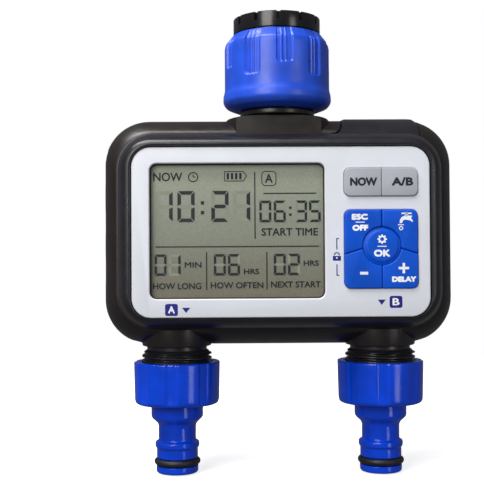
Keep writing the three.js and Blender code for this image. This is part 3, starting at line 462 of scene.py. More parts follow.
def rounded(corners, radius, steps=5):
    """A profile with its corners rounded; a corner is (r, z, radius), or (r, z) for the default radius."""
    points = []
    count = len(corners)
    for i, corner in enumerate(corners):
        here = np.array(corner[:2], float)
        size = corner[2] if len(corner) > 2 else radius
        back = np.array(corners[i - 1][:2], float) - here
        ahead = np.array(corners[(i + 1) % count][:2], float) - here
        reach = min(size, 0.49 * np.linalg.norm(back), 0.49 * np.linalg.norm(ahead))
        if reach < 0.01:
            points.append(here)
            continue
        start = here + back / np.linalg.norm(back) * reach
        end = here + ahead / np.linalg.norm(ahead) * reach
        for t in np.linspace(0, 1, steps):
            points.append((1 - t) ** 2 * start + 2 * t * (1 - t) * here + t * t * end)
    return np.array(points)


def apply_modifiers(obj):
    graph = bpy.context.evaluated_depsgraph_get()
    made = bpy.data.meshes.new_from_object(obj.evaluated_get(graph))
    old = obj.data
    obj.modifiers.clear()
    obj.data = made
    bpy.data.meshes.remove(old)


def combine(obj, other, operation):
    """Joins, cuts or intersects obj with other, which is used up."""
    modifier = obj.modifiers.new("combine", "BOOLEAN")
    modifier.operation = operation
    modifier.object = other
    modifier.solver = "MANIFOLD"
    apply_modifiers(obj)
    bpy.data.objects.remove(other)
    return obj


def cut(obj, *others):
    for other in others:
        combine(obj, other, "DIFFERENCE")
    return obj


def join(obj, *others):
    for other in others:
        combine(obj, other, "UNION")
    return obj


def soften(obj, width, segments=3, angle=35):
    """Rounds the sharp edges of a piece."""
    modifier = obj.modifiers.new("soften", "BEVEL")
    modifier.width = width * MM
    modifier.segments = segments
    modifier.limit_method = "ANGLE"
    modifier.angle_limit = math.radians(angle)
    modifier.use_clamp_overlap = True
    apply_modifiers(obj)
    return obj


def dress(obj, body, slot, *nodes, material=None, sharp=32):
    """Shades a piece, gives it its material and body, and hides the CAD nodes it stands for."""
    obj.data.shade_smooth()
    obj.data.set_sharp_from_angle(angle=math.radians(sharp))
    obj.data.materials.clear()
    obj.data.materials.append(material or MATERIALS[slot])
    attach(obj, body)
    if nodes:
        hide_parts(*nodes)
    return obj


# ---------------------------------------------------------------- housing forms
def ellipse_inset(y, curve):
    t = min(abs(y - curve.y) / curve.depth, 1.0)
    return curve.inset * (1 - math.sqrt(1 - t * t))


def rear_inset(y):
    inset = ellipse_inset(y, SHOULDER) if y < SHOULDER.y else 0.0
    return inset + (ellipse_inset(y, BACK_ROUND) if y > BACK_ROUND.y else 0.0)


def rear_rect(y, grow=0.0):
    """The rear shell's outline at depth y."""
    inset = rear_inset(min(max(y, SEAM_Y), BACK_Y))
    corner = max(CORNER_R - CORNER_SHRINK * inset + grow, 2)
    return centred(HALF_W - inset + grow, HALF_H - inset + grow, corner)


def rear_rings(y0, y1, grow=0.0, steps=14, rows=24):
    return [standing(outline(rear_rect(y, grow), 0.0, steps), y) for y in np.linspace(y0, y1, rows)]


def bezel_rect(y, grow=0.0):
    """The front shell's outline at depth y."""
    inset = ellipse_inset(min(y, SEAM_Y), BEZEL)
    return centred(BEZEL.w - inset + grow, BEZEL.h - inset + grow, BEZEL.r - inset + grow)


def top_height(rect, x):
    """Height of a rounded rectangle's top edge at x."""
    reach = x - (rect.right - rect.corner)
    if reach <= 0:
        return rect.top
    return rect.top - rect.corner + math.sqrt(max(rect.corner ** 2 - reach ** 2, 0.0))


# ---------------------------------------------------------------- front shell
def bezel_profile():
    """Stations of the front shell from its hollow, round the outside and crest, to the fascia's pocket."""
    seam_round = [(SEAM_Y, -0.55), (SEAM_Y - 0.15, -0.2), (SEAM_Y - 0.55, 0.0)]
    slope = (-14.0, -16.0, -18.0, -19.6, -20.9, -22.0, -22.8, -23.4, -23.8)
    rings = [standing(outline(bezel_rect(SEAM_Y, -BEZEL_WALL)), SEAM_Y)]
    rings += [standing(outline(bezel_rect(SEAM_Y, grow)), y) for y, grow in seam_round]
    rings += [standing(outline(bezel_rect(y)), y) for y in slope]
    crest = outline(bezel_rect(BEZEL_Y))
    inner = outline(FASCIA, GAP)
    across = [(0.18, -24.02), (0.38, -24.14), (0.55, BEZEL_Y), (0.68, -24.12), (0.8, -23.9), (0.9, -23.55),
              (1.0, -23.1)]
    for share, y in across:
        rings.append(standing(crest * (1 - share) + inner * share, y))
    ledge_y = FRONT_Y + FASCIA_THICK + GAP
    rings.append(standing(inner, ledge_y))
    rings.append(standing(outline(FASCIA, -LEDGE), ledge_y))
    rings.append(standing(outline(FASCIA, -LEDGE), ledge_y + 1.8))
    rings.append(standing(outline(centred(53.6, 30.6, 9.0)), ledge_y + 1.8))
    rings.append(standing(outline(bezel_rect(SEAM_Y, -BEZEL_WALL)), SEAM_Y - 5))
    return rings


def tab_height(x, y):
    """Top of the lip: it leaves the bezel, climbs over the rear shell and stands a little above it."""
    bezel = top_height(bezel_rect(min(y, SEAM_Y)), x)
    rear = top_height(rear_rect(max(y, SEAM_Y), TAB.rise), x)
    if y < SEAM_Y:
        rear -= 1.4 * (SEAM_Y - y)
    blend = 1.6
    h = max(blend - abs(bezel - rear), 0.0) / blend
    return max(bezel, rear) + h * h * blend / 4


def tab_left(z):
    """Left edge of the lip at height z, which sweeps up from the seam."""
    rise = min(max((z - TAB.foot_z) / 7.4, 0.0), 1.0)
    t = 1 - math.sqrt(rise)
    return TAB.left - (TAB.left - TAB.foot) * t * t


def tab():
    """The front shell's lip over the rear shell's top."""
    edge = 0.6
    columns = 22
    rings = []
    depths = list(np.linspace(-16.5, 3.0, 28)) + [3.5, 3.85, TAB.back]
    for y in depths:
        left = tab_left(tab_height(TAB.left, y))
        sunk = 0.06 + max(0.0, (-13.5 - y) * 0.5)
        end_drop = 0.55 * max(0.0, (y - 3.0)) ** 2
        top, bottom = [], []
        for x in np.linspace(left, TAB.right, columns):
            near = min(x - left, TAB.right - x)
            drop = edge - math.sqrt(max(edge ** 2 - (edge - min(near, edge)) ** 2, 0.0))
            z = tab_height(x, y) - drop - sunk - end_drop
            top.append((x, y, z))
            bottom.append((x, y, min(z, top_height(rear_rect(y), x)) - 2.2))
        rings.append(np.array(top + bottom[::-1]))
    return skin("front_tab", rings, lift=HOUSING_Z)


def front_shell():
    shell = skin("front_shell_skin", bezel_profile(), around=True, lift=HOUSING_Z)
    join(shell, tab())
    dress(shell, "housing", "black_plastic", "front_shell", sharp=40)


# ---------------------------------------------------------------- rear shell and grips
def rear_solid(name, y0, y1, grow):
    return skin(name, rear_rings(y0, y1, grow), lift=HOUSING_Z)


def grip_band(side, grow):
    """The pocket that one grip lies in."""
    far = side * (HALF_W + 2)

    def stretch(start, z0, z1):
        x0, x1 = sorted((side * (start - grow), far))
        return block("grip_region", x0, x1, GRIP.front - grow, GRIP.back + grow, z0, z1)

    if side > 0:
        top = stretch(GRIP.right_top_x, 0, HALF_H + 2)
    else:
        top = stretch(GRIP.bottom_x, 0, GRIP.left_top_z + grow)
    region = join(stretch(GRIP.bottom_x, -HALF_H - 2, 1), top)
    band = rear_solid("grip_band", GRIP.front - 4, GRIP.back + 4, 1.0)
    cut(band, rear_solid("grip_core", GRIP.front - 5, GRIP.back + 5, -GRIP.thick - grow))
    return combine(band, region, "INTERSECT")


def tab_notch():
    """Cuts the rear shell's top away where the front shell's lip covers it."""
    z0 = BEZEL.h - BEZEL_WALL
    heights = np.linspace(TAB.foot_z, HALF_H + 1, 14)
    sweep = [(tab_left(z) - GAP, z) for z in heights]
    points = [(TAB.foot - GAP, z0)] + sweep + [(TAB.right + GAP, HALF_H + 1), (TAB.right + GAP, z0)]
    notch = prism("tab_notch", points, SEAM_Y - 1, TAB.back + GAP)
    return cut(notch, rear_solid("tab_floor", SEAM_Y - 2, TAB.back + 2, TAB.rise - WALL - GAP))


def lathe(name, profile, across=0.0):
    """A solid turned about Z from an open profile, in housing coordinates."""
    solid = turned(name, profile, steps=128, around=False, across=across)
    solid.data.transform(Matrix.Translation((0, 0, HOUSING_Z * MM)))
    return solid


def upright(name, x, r, z0, z1):
    """A round bar along Z, in housing coordinates."""
    return lathe(name, [(0, z0), (r, z0), (r, z1), (0, z1)], x)


def inlet_boss():
    """Round raised ground under the neck, with a soft edge and a flat front at the seam."""
    top = HALF_H + INLET_BOSS.rise
    radius = INLET_BOSS.r
    profile = [(0, BEZEL.h + GAP), (radius, BEZEL.h + GAP), (radius, top - 1.1), (radius - 0.35, top - 0.75),
               (radius - 1.6, top - 0.45), (radius - 4, top - 0.2), (radius - 7, top), (0, top)]
    boss = lathe("inlet_boss", profile)
    cut(boss, block("boss_front", -HALF_W, HALF_W, -HALF_W, SEAM_Y + GAP, 0, HALF_H + 9))
    return soften(boss, 0.7, 4, 60)


def outlet_boss(side):
    """Round skirt above a threaded spigot, with a rounded lower edge."""
    bottom = -HALF_H - OUTLET_BOSS.rise
    radius = OUTLET_BOSS.r
    profile = [(0, OUTLET_BOSS.top_z), (radius, OUTLET_BOSS.top_z), (radius, bottom + 0.6),
               (radius - 0.2, bottom + 0.15), (radius - 0.6, bottom), (0, bottom)]
    return lathe("outlet_boss", profile, side * OUTLET_X)


def rear_skin():
    """The rear shell's hollow and outside, from the back wall's inner face round to its outer one."""
    seam_round = [(SEAM_Y + GAP, -0.6), (SEAM_Y + GAP + 0.12, -0.26), (SEAM_Y + GAP + 0.5, 0.0)]
    back_round = [(BACK_Y - 0.35, -0.12), (BACK_Y - 0.08, -0.4), (BACK_Y, -0.9)]
    outer = [standing(outline(rear_rect(y, grow), 0, 14), y) for y, grow in seam_round]
    outer += rear_rings(SEAM_Y + 1.4, BACK_Y - 0.9, rows=34)
    outer += [standing(outline(rear_rect(y, grow), 0, 14), y) for y, grow in back_round]
    inner = rear_rings(BACK_Y - WALL, SEAM_Y + GAP, -WALL, rows=14)
    return skin("rear_shell_skin", inner + outer, lift=HOUSING_Z)


def tray_block(name, grow, front, back):
    """A block round the battery tray's place, larger than the tray by grow."""
    half_w, half_h = TRAY.w + grow, TRAY.h + grow
    return block(name, -half_w, half_w, front, back, BATTERY_Z - half_h, BATTERY_Z + half_h)


def add_rear_solids(shell, screws):
    """The battery well with its rim, the bosses and the screw posts."""
    join(shell, tray_block("well", 1.5, TRAY.front - 1.5, BACK_Y - 1))
    rim = centred(COVER.w + 2, COVER.h + 2, COVER.r, BATTERY_Z)
    join(shell, plate("well_rim", rim, [(BACK_Y - 6.5, 0), (BACK_Y - 1, 0)]), inlet_boss())
    join(shell, *[outlet_boss(side) for side in SIDES.values()])
    for x, z in screws:
        join(shell, peg("screw_post", x, z, SCREW.post_r, SEAM_Y + 1, BACK_Y - 1.5))


def cut_rear_openings(shell, screws):
    """The grips' pockets, the holes for neck, spigots, tray, cover and screws, and the lip's place."""
    for side in SIDES.values():
        cut(shell, grip_band(side, GAP))
        cut(shell, upright("spigot_hole", side * OUTLET_X, VALVE.neck_r + GAP, -HALF_H - 2, -30))
    cut(shell, tab_notch(), upright("neck_hole", 0, NECK.r + GAP, 30, HALF_H + 3))
    cut(shell, tray_block("tray_hole", GAP, TRAY.front - GAP, BACK_Y + 1))
    pocket = centred(COVER.w, COVER.h, COVER.r, BATTERY_Z)
    stations = [(BACK_Y - COVER.thick - 1.4, GAP), (BACK_Y - 0.3, GAP), (BACK_Y + 0.3, GAP + 0.6)]
    cut(shell, plate("cover_pocket", pocket, stations))
    for x, z in screws:
        cut(shell, peg("counterbore", x, z, SCREW.head_r + GAP, SCREW.head_y, BACK_Y + 1))
        cut(shell, peg("shank_hole", x, z, SCREW.shank_r + GAP, SEAM_Y - 1, BACK_Y, 24))


def rear_shell():
    screws = [(sx * SCREW.x, sz * SCREW.z) for sx in (-1, 1) for sz in (-1, 1)]
    shell = rear_skin()
    add_rear_solids(shell, screws)
    cut_rear_openings(shell, screws)
    # the rear shell's colour carries a painted brown reflection
    dress(shell, "housing", "black_plastic", "rear_shell", material=MATERIALS["rear_black_with_reflection"], sharp=36)


def grip_path(side):
    """Points along the housing's side outline that the grip follows, with their outward directions."""
    rect = rear_rect(8.0)
    points = outline(rect, 0.0, 40)
    ahead, behind = np.roll(points, -1, 0), np.roll(points, 1, 0)
    along = ahead - behind
    normals = np.column_stack([along[:, 1], -along[:, 0]])
    normals /= np.linalg.norm(normals, axis=1)[:, None]
    on_side = points[:, 0] * side
    if side > 0:
        keep = np.where(points[:, 1] > 0, on_side > GRIP.right_top_x, on_side > GRIP.bottom_x)
    else:
        keep = np.where(points[:, 1] > 0, points[:, 1] < GRIP.left_top_z, True) & (on_side > GRIP.bottom_x)
    chosen = np.flatnonzero(keep)
    order = chosen[np.argsort(points[chosen, 1])]
    path, facing = points[order], normals[order]
    length = np.concatenate([[0], np.cumsum(np.linalg.norm(np.diff(path, axis=0), axis=1))])
    even = np.linspace(0, length[-1], 150)
    path = np.column_stack([np.interp(even, length, path[:, k]) for k in (0, 1)])
    facing = np.column_stack([np.interp(even, length, facing[:, k]) for k in (0, 1)])
    return path, facing / np.linalg.norm(facing, axis=1)[:, None], even


def grip(side):
    """A soft pad along one side, swelling between the notches that cross it."""
    path, facing, along = grip_path(side)
    rows = 26
    depths = np.linspace(GRIP.front, GRIP.back, rows)
    ends = [along[0]] + sorted(float(np.interp(z, path[:, 1], along)) for z in GRIP_NOTCHES) + [along[-1]]
    rings = []
    for i, s in enumerate(along):
        nearest = min(abs(s - e) for e in ends)
        swell = 1 - math.exp(-(nearest / 2.2) ** 1.5)
        outer, inner = [], []
        for y in depths:
            rim = min(y - GRIP.front, GRIP.back - y)
            edge = 1 - math.exp(-rim / 1.3)
            height = -0.75 + 0.72 * swell * (0.35 + 0.65 * edge)
            drop = rear_inset(y)
            outer.append((*(path[i] + facing[i] * (height - drop)), y))
            inner.append((*(path[i] + facing[i] * (-GRIP.thick - drop)), y))
        ring = np.array(outer + inner[::-1])
        rings.append(ring[:, [0, 2, 1]])
    name = "left" if side < 0 else "right"
    pad = skin(f"grip_pad_{name}", rings, lift=HOUSING_Z)
    dress(pad, "housing", "grip_rubber", f"grip_{name}", sharp=60)


# ---------------------------------------------------------------- fascia, window and display
def fascia():
    back = FRONT_Y + FASCIA_THICK
    edge = [(back, 0), (FRONT_Y + 0.42, 0), (FRONT_Y + 0.2, -0.06), (FRONT_Y + 0.05, -0.22), (FRONT_Y, -0.45)]
    panel = plate("fascia_skin", FASCIA, edge, steps=16)
    for rect in (WINDOW, GREY_KEYS, BLUE_KEYS):
        flare = [(FRONT_Y - 0.5, 0.75), (FRONT_Y, 0.35), (FRONT_Y + 0.16, 0.1), (FRONT_Y + 0.4, 0),
                 (back + 1, 0)]
        cut(panel, plate("fascia_opening", rect, flare, steps=8))
    dress(panel, "housing", "white_plastic", "fascia_panel")


def window():
    edge = [(LENS.y + LENS.thick, LENS.overlap), (LENS.y + 0.15, LENS.overlap),
            (LENS.y, LENS.overlap - 0.15)]
    lens = plate("window_pane", WINDOW, edge)
    dress(lens, "housing", "clear_lens", "display_lens")
    # a dark brown ring round the display, partly a dark frame behind the window and partly painted shade in
    # the window's recess
    mask = plate("window_mask_and_painted_shade", WINDOW, [(LCD_Y - 0.2, 1.2), (LCD_Y - 0.1, 1.2)])
    cut(mask, plate("mask_opening", WINDOW, [(LCD_Y - 1, -0.45), (LCD_Y + 1, -0.45)]))
    dress(mask, "housing", "display", material=INKS["mask"])


def digit_bars(w, h, t):
    """The seven bars of a digit, named a to g, as outlines from its lower left corner, with mitred ends."""
    gap = 0.12 * t
    mid = h / 2

    def level(z, side):
        """A bar across; side tells which edge is its outer one."""
        half = t / 2
        if side == 0:
            return [(half + gap, z), (t + gap, z + half), (w - t - gap, z + half), (w - half - gap, z),
                    (w - t - gap, z - half), (t + gap, z - half)]
        inner, outer = z - side * t, z
        return [(gap * 2, outer), (w - gap * 2, outer), (w - t - gap, inner), (t + gap, inner)]

    def upright_bar(x, z0, z1, side):
        outer, inner = x, x - side * t
        low_in = z0 + (t if z0 == 0 else t / 2)
        high_in = z1 - (t if z1 == h else t / 2)
        return [(outer, z0 + gap * 2), (inner, low_in + gap), (inner, high_in - gap), (outer, z1 - gap * 2)]

    return {
        "a": level(h, 1), "g": level(mid, 0), "d": level(0, -1),
        "f": upright_bar(0, mid, h, -1), "b": upright_bar(w, mid, h, 1),
        "e": upright_bar(0, 0, mid, -1), "c": upright_bar(w, 0, mid, 1),
    }


COPY_STEP = 0.003  # each shifted copy of a word lies this much deeper, so that no two faces coincide
LIT = {"0": "abcdef", "1": "bc", "2": "abged", "3": "abgcd", "5": "afgcd", "6": "afgedc"}


class Print:
    """Flat printed shapes at one depth, gathered into a single thin piece."""

    def __init__(self, front, thick):
        self.front = front
        self.thick = thick
        self.parts = []

    def shape(self, points):
        points = np.asarray(points, float)
        self.parts.append(loft([standing(points, self.front + self.thick), standing(points, self.front)]))

    def bar(self, x0, x1, z0, z1):
        self.shape([(x0, z0), (x1, z0), (x1, z1), (x0, z1)])

    def ring(self, outer, inner):
        """The band between two outlines that have the same number of points."""
        front, back = self.front, self.front + self.thick
        loops = ((outer, back), (outer, front), (inner, front), (inner, back))
        self.parts.append(loft([standing(np.asarray(line, float), y) for line, y in loops], around=True))

    def circle(self, x, z, r, inner=0.0, steps=32):
        unit = unit_circle(steps)
        if inner:
            self.ring(unit * r + (x, z), unit * inner + (x, z))
        else:
            self.shape(unit * r + (x, z))

    def box(self, rect, line):
        self.ring(outline(rect, 0.0, 5), outline(rect, -line, 5))

    def text(self, words, x0, x1, z0, z1, weight=0.17):
        """Words fitted to a box in the built-in face; shifted copies thicken the strokes by weight."""
        curve = bpy.data.curves.new("words", "FONT")
        curve.body = words
        curve.resolution_u = 3
        curve.extrude = 0.5
        holder = bpy.data.objects.new("words", curve)
        scene.collection.objects.link(holder)
        graph = bpy.context.evaluated_depsgraph_get()
        mesh = bpy.data.meshes.new_from_object(holder.evaluated_get(graph))
        points = np.array([v.co for v in mesh.vertices])
        low, high = points.min(0), points.max(0)
        half = weight / 2
        x = x0 + half + (points[:, 0] - low[0]) / (high[0] - low[0]) * (x1 - x0 - weight)
        z = z0 + half + (points[:, 1] - low[1]) / (high[1] - low[1]) * (z1 - z0 - weight)
        faces = [tuple(p.vertices) for p in mesh.polygons]
        for turn in range(8):
            dx, dz = half * math.cos(turn * math.pi / 4), half * math.sin(turn * math.pi / 4)
            y = self.front + np.where(points[:, 2] > 0, COPY_STEP * turn, self.thick)
            self.parts.append((np.column_stack([x + dx, y, z + dz]), faces))
        bpy.data.objects.remove(holder)
        bpy.data.curves.remove(curve)
        bpy.data.meshes.remove(mesh)

    def digit(self, bars, x, z, names):
        for name in names:
            self.shape([(x + px, z + pz) for px, pz in bars[name]])

    def piece(self, name, material, body, slot):
        points, faces, start = [], [], 0
        for part_points, part_faces in self.parts:
            points.append(part_points)
            faces += [tuple(start + i for i in face) for face in part_faces]
            start += len(part_points)
        obj = new_object(name, np.concatenate(points), faces, lift=HOUSING_Z)
        return dress(obj, body, slot, material=material)


def place_digits(lit, ghost, text, left, pitch, bottom, size):
    """Writes digits from the left; unlit bars go on the ghost print."""
    bars = digit_bars(*size)
    for i, character in enumerate(text):
        x = left + i * pitch
        lit.digit(bars, x, bottom, LIT[character])
        ghost.digit(bars, x, bottom, [bar for bar in bars if bar not in LIT[character]])


# What the display shows. DIGITS: the text, its left edge, pitch and lower edge, and a digit's width, height
# and stroke. LEGENDS: the words and their left, right, bottom and top. COLONS: centre, half size and heights.
# The plain bars are given by left, right, bottom and top.
CLOCK_DIGIT = (6.2, 11.2, 1.3)
DIGIT = (4.3, 7.8, 0.9)
DIGITS = (
    ("10", -45.0, 7.9, 3.1, CLOCK_DIGIT), ("21", -24.9, 7.8, 3.1, CLOCK_DIGIT),
    ("06", -7.6, 5.2, 2.9, DIGIT), ("35", 5.4, 4.9, 2.9, (4.2, 7.8, 0.9)),
    ("01", -45.4, 5.1, -16.2, (4.3, 7.7, 0.9)), ("06", -24.1, 5.1, -16.2, (4.3, 7.7, 0.9)),
    ("02", -2.5, 5.1, -16.2, (4.3, 7.7, 0.9)),
)
LEGENDS = (
    ("NOW", -45.8, -35.3, 17.8, 21.0), ("START TIME", -6.9, 13.5, -2.0, 0.8),
    ("MIN", -34.6, -28.5, -13.3, -11.3), ("HRS", -13.3, -7.8, -15.8, -13.8), ("HRS", 8.2, 13.7, -12.9, -10.9),
    ("HOW LONG", -46.0, -28.6, -21.1, -18.8), ("HOW OFTEN", -25.3, -6.3, -20.9, -18.6),
    ("NEXT START", -3.6, 14.4, -20.7, -18.4), ("A", -5.5, -2.7, 17.1, 20.3),
)
COLONS = ((-28.1, 0.6, (6.5, 10.0)), (3.55, 0.45, (5.6, 8.1)))
RULES = (
    (-9.4, -9.0, -3.1, 21.0), (-45.0, 13.8, -6.0, -5.6), (-6.1, 13.0, 13.1, 13.5),
    (-26.9, -26.5, -21.4, -7.8), (-5.2, -4.8, -21.4, -7.8),
)
CLOCK_HANDS = ((-31.55, -31.25, 19.2, 20.3), (-31.4, -30.6, 19.15, 19.45))
GAUGE_BARS = [(-19.3 + 1.5 * i, -18.45 + 1.5 * i, 18.4, 20.7) for i in range(4)]


def display():
    """The display's backing is the CAD module; its segments and legends are printed just in front of it."""
    lit = Print(LCD_Y - 0.09, 0.05)
    ghost = Print(LCD_Y - 0.05, 0.03)
    for digits in DIGITS:
        place_digits(lit, ghost, *digits)
    for legend in LEGENDS:
        lit.text(*legend)
    for x, half, heights in COLONS:
        for z in heights:
            lit.bar(x - half, x + half, z - half, z + half)
    for bar in (*RULES, *CLOCK_HANDS, *GAUGE_BARS):
        lit.bar(*bar)
    lit.box(Sizes(left=-6.8, right=-1.4, top=21.4, bottom=16.0, corner=1.4), 0.3)
    lit.circle(-31.4, 19.3, 1.85, 1.45)
    gauge = [(-20.2, 17.7), (-13.2, 17.7), (-12.0, 19.6), (-13.2, 21.4), (-20.2, 21.4)]
    hollow = [(-19.9, 18.0), (-13.4, 18.0), (-12.35, 19.6), (-13.4, 21.1), (-19.9, 21.1)]
    lit.ring(gauge, hollow)
    lit.piece("display_segments_on", INKS["dark"], "housing", "display")
    ghost.piece("display_segments_off", INKS["ghost"], "housing", "display")


# ---------------------------------------------------------------- keys
def clipped(points, normal, limit):
    """The part of a convex outline where normal times point is at most limit."""
    normal = np.array(normal, float)
    kept = []
    for i, here in enumerate(points):
        after = points[(i + 1) % len(points)]
        a, b = here @ normal - limit, after @ normal - limit
        if a <= 0:
            kept.append(here)
        if a * b < 0:
            kept.append(here + (after - here) * (a / (a - b)))
    return np.array(kept)


def bitten(points, centre, radius, steps=18):
    """An outline with the disc taken out of the one corner that it covers."""
    centre = np.array(centre, float)
    outside = np.linalg.norm(points - centre, axis=1) > radius
    start = next(i for i in range(len(points)) if outside[i] and not outside[i - 1])
    points, outside = np.roll(points, -start, 0), np.roll(outside, -start)
    kept = points[outside]

    def crossing(inside, out):
        for _ in range(30):
            middle = (inside + out) / 2
            if np.linalg.norm(middle - centre) < radius:
                inside = middle
            else:
                out = middle
        return out

    first = crossing(points[-1], kept[0])
    last = crossing(points[len(kept)], kept[-1])
    a0, a1 = (math.atan2(*(p - centre)[::-1]) for p in (last, first))
    turn = (a1 - a0 + math.pi) % (2 * math.pi) - math.pi
    arc = [centre + radius * np.array([math.cos(a0 + turn * t), math.sin(a0 + turn * t)])
           for t in np.linspace(0, 1, steps)]
    return np.concatenate([kept, arc])


def blue_key(name, side, above):
    """A quarter of the blue pad; the grooves and the ring round the middle key shape its edges."""
    points = outline(BLUE_KEYS, -KEY_GAP, 10)
    points = clipped(points, (-side, 0), -side * KEY_X - KEY_GAP)
    slope = side * GROOVE_SLOPE
    groove = GROOVE_Z + slope * KEY_X
    points = clipped(points, (-above * slope, -above), -above * groove - KEY_GAP)
    points = bitten(points, (KEY_X, OK_KEY.z), OK_KEY.clear_r)
    key = soften(prism(f"{name}_cap", points, KEY_BACK_Y, CAP_Y), 0.75, 5)
    dress(key, name, "blue_key", name, sharp=50)


def grey_key(name, side):
    points = clipped(outline(GREY_KEYS, -KEY_GAP, 10), (-side, 0), -side * KEY_X - KEY_GAP)
    key = soften(prism(f"{name}_cap", points, KEY_BACK_Y, CAP_Y), 0.35, 4)
    dress(key, name, "grey_key", name, sharp=50)


def ok_key():
    """Round middle key with a dished rim, on its wider skirt."""
    unit = unit_circle(72)
    r, skirt = OK_KEY.r, OK_KEY.skirt_r
    profile = [(skirt, KEY_BACK_Y), (skirt, KEY_FRONT_Y + 0.75), (skirt - 0.3, KEY_FRONT_Y + 0.55),
               (r + 0.35, KEY_FRONT_Y + 0.5), (r + 0.1, KEY_FRONT_Y + 0.3), (r - 0.15, KEY_FRONT_Y + 0.1),
               (r - 0.5, KEY_FRONT_Y + 0.03), (r - 0.9, CAP_Y)]
    rings = [standing(unit * radius + (KEY_X, OK_KEY.z), y) for radius, y in profile]
    key = skin("key_ok_cap", rings, lift=HOUSING_Z)
    dress(key, "key_ok", "blue_key", "key_ok", sharp=50)


def tap_icon(label):
    """A small garden tap with its handle, spout and a drop."""
    label.bar(43.0, 46.6, 5.4, 5.9)
    label.bar(44.5, 45.1, 4.6, 6.1)
    body = [(42.3, 2.2), (43.2, 2.2), (43.4, 3.0), (44.0, 3.4), (45.9, 3.2), (46.8, 2.6), (47.1, 2.9),
            (46.4, 4.0), (46.9, 4.8), (45.4, 4.9), (44.2, 4.9), (43.0, 4.3), (42.4, 3.3)]
    label.shape(body)
    label.bar(41.7, 43.8, 1.45, 1.75)
    label.circle(42.8, 0.4, 0.75, 0.4)


def gear_icon(label, x, z):
    """A toothed ring about a point."""
    unit = unit_circle(96)
    wave = 1.5 + 0.22 * np.tanh(3 * np.cos(8 * np.arctan2(unit[:, 1], unit[:, 0])))
    label.ring(unit * wave[:, None] + (x, z), unit * 0.7 + (x, z))


def keys():
    grey_key("key_now", SIDES["left"])
    grey_key("key_a_b", SIDES["right"])
    blue_key("key_esc_off", SIDES["left"], 1)
    blue_key("key_manual", SIDES["right"], 1)
    blue_key("key_minus", SIDES["left"], -1)
    blue_key("key_plus", SIDES["right"], -1)
    ok_key()


# Words on the keys, each with its left, right, bottom and top, and the plain bars in the same order.
KEY_WORDS = (
    ("key_now", "NOW", 24.7, 34.4, 15.5, 18.6), ("key_a_b", "A/B", 39.6, 47.3, 15.5, 18.6),
    ("key_esc_off", "ESC", 25.2, 31.0, 3.4, 5.6), ("key_esc_off", "OFF", 25.4, 31.1, -0.5, 1.7),
    ("key_plus", "DELAY", 39.4, 48.1, -18.8, -16.8), ("key_ok", "OK", 33.0, 38.9, -9.8, -7.2),
)
KEY_BARS = (
    ("key_esc_off", 26.6, 29.8, 2.45, 2.75), ("key_minus", 28.0, 30.9, -16.1, -15.1),
    ("key_plus", 41.8, 45.5, -14.3, -13.4), ("key_plus", 43.2, 44.1, -15.7, -14.3),
    ("key_plus", 43.2, 44.1, -13.4, -12.0), ("key_ok", 34.3, 37.6, -6.2, -5.9),
)
KEY_BODIES = ("key_now", "key_a_b", "key_esc_off", "key_manual", "key_minus", "key_plus", "key_ok")
KEY_WEIGHT = 0.42


def key_labels():
    labels = {body: Print(KEY_FRONT_Y, 0.045) for body in KEY_BODIES}
    for body, *word in KEY_WORDS:
        labels[body].text(*word, KEY_WEIGHT)
    for body, *bar in KEY_BARS:
        labels[body].bar(*bar)
    tap_icon(labels["key_manual"])
    gear_icon(labels["key_ok"], KEY_X, -3.5)
    for body, label in labels.items():
        slot, colour = ("grey_key", "black") if body in ("key_now", "key_a_b") else ("blue_key", "white")
        label.piece(f"{body}_print", INKS[colour], body, slot)


def fascia_print():
    """Outlet letters with their arrows, and the key-lock sign."""
    navy = Print(FRONT_Y - 0.02, 0.05)
    white = Print(FRONT_Y - 0.035, 0.05)
    for letter, x, z in (("A", -39.2, -28.3), ("B", 40.9, -25.9)):
        navy.shape(outline(centred(2.3, 2.15, 0.8, 0.0), 0, 6) + (x, z))
        white.text(letter, x - 1.25, x + 1.25, z - 1.35, z + 1.35, 0.3)
    for x, z in ((-34.0, -28.5), (35.8, -26.0)):
        navy.shape([(x - 1.45, z + 0.95), (x, z - 0.95), (x + 1.45, z + 0.95)])
    lock_x, lock_z = 19.9, -9.9
    navy.bar(lock_x - 1.45, lock_x + 1.45, lock_z - 1.2, lock_z + 0.5)
    turns = np.linspace(0, math.pi, 14)
    arch = np.column_stack([np.cos(turns), np.sin(turns)])
    shackle = np.concatenate([arch * 1.1, arch[::-1] * 0.7]) + (lock_x, lock_z + 0.75)
    navy.shape(shackle)
    white.circle(lock_x, lock_z - 0.2, 0.3)
    for z, turn in ((-7.1, 1), (-12.4, -1)):
        end = z + turn * 3.7
        tip = end + turn * 0.4
        navy.bar(lock_x - 0.2, lock_x + 0.2, min(z, end), max(z, end))
        navy.bar(lock_x - 0.2, lock_x + 0.8, min(end, tip), max(end, tip))
    navy.piece("fascia_print", INKS["navy"], "housing", "white_plastic")
    white.piece("fascia_print_letters", INKS["white"], "housing", "white_plastic")


# ---------------------------------------------------------------- inlet
def smooth_step(value, low, high):
    t = np.clip((value - low) / (high - low), 0, 1)
    return t * t * (3 - 2 * t)


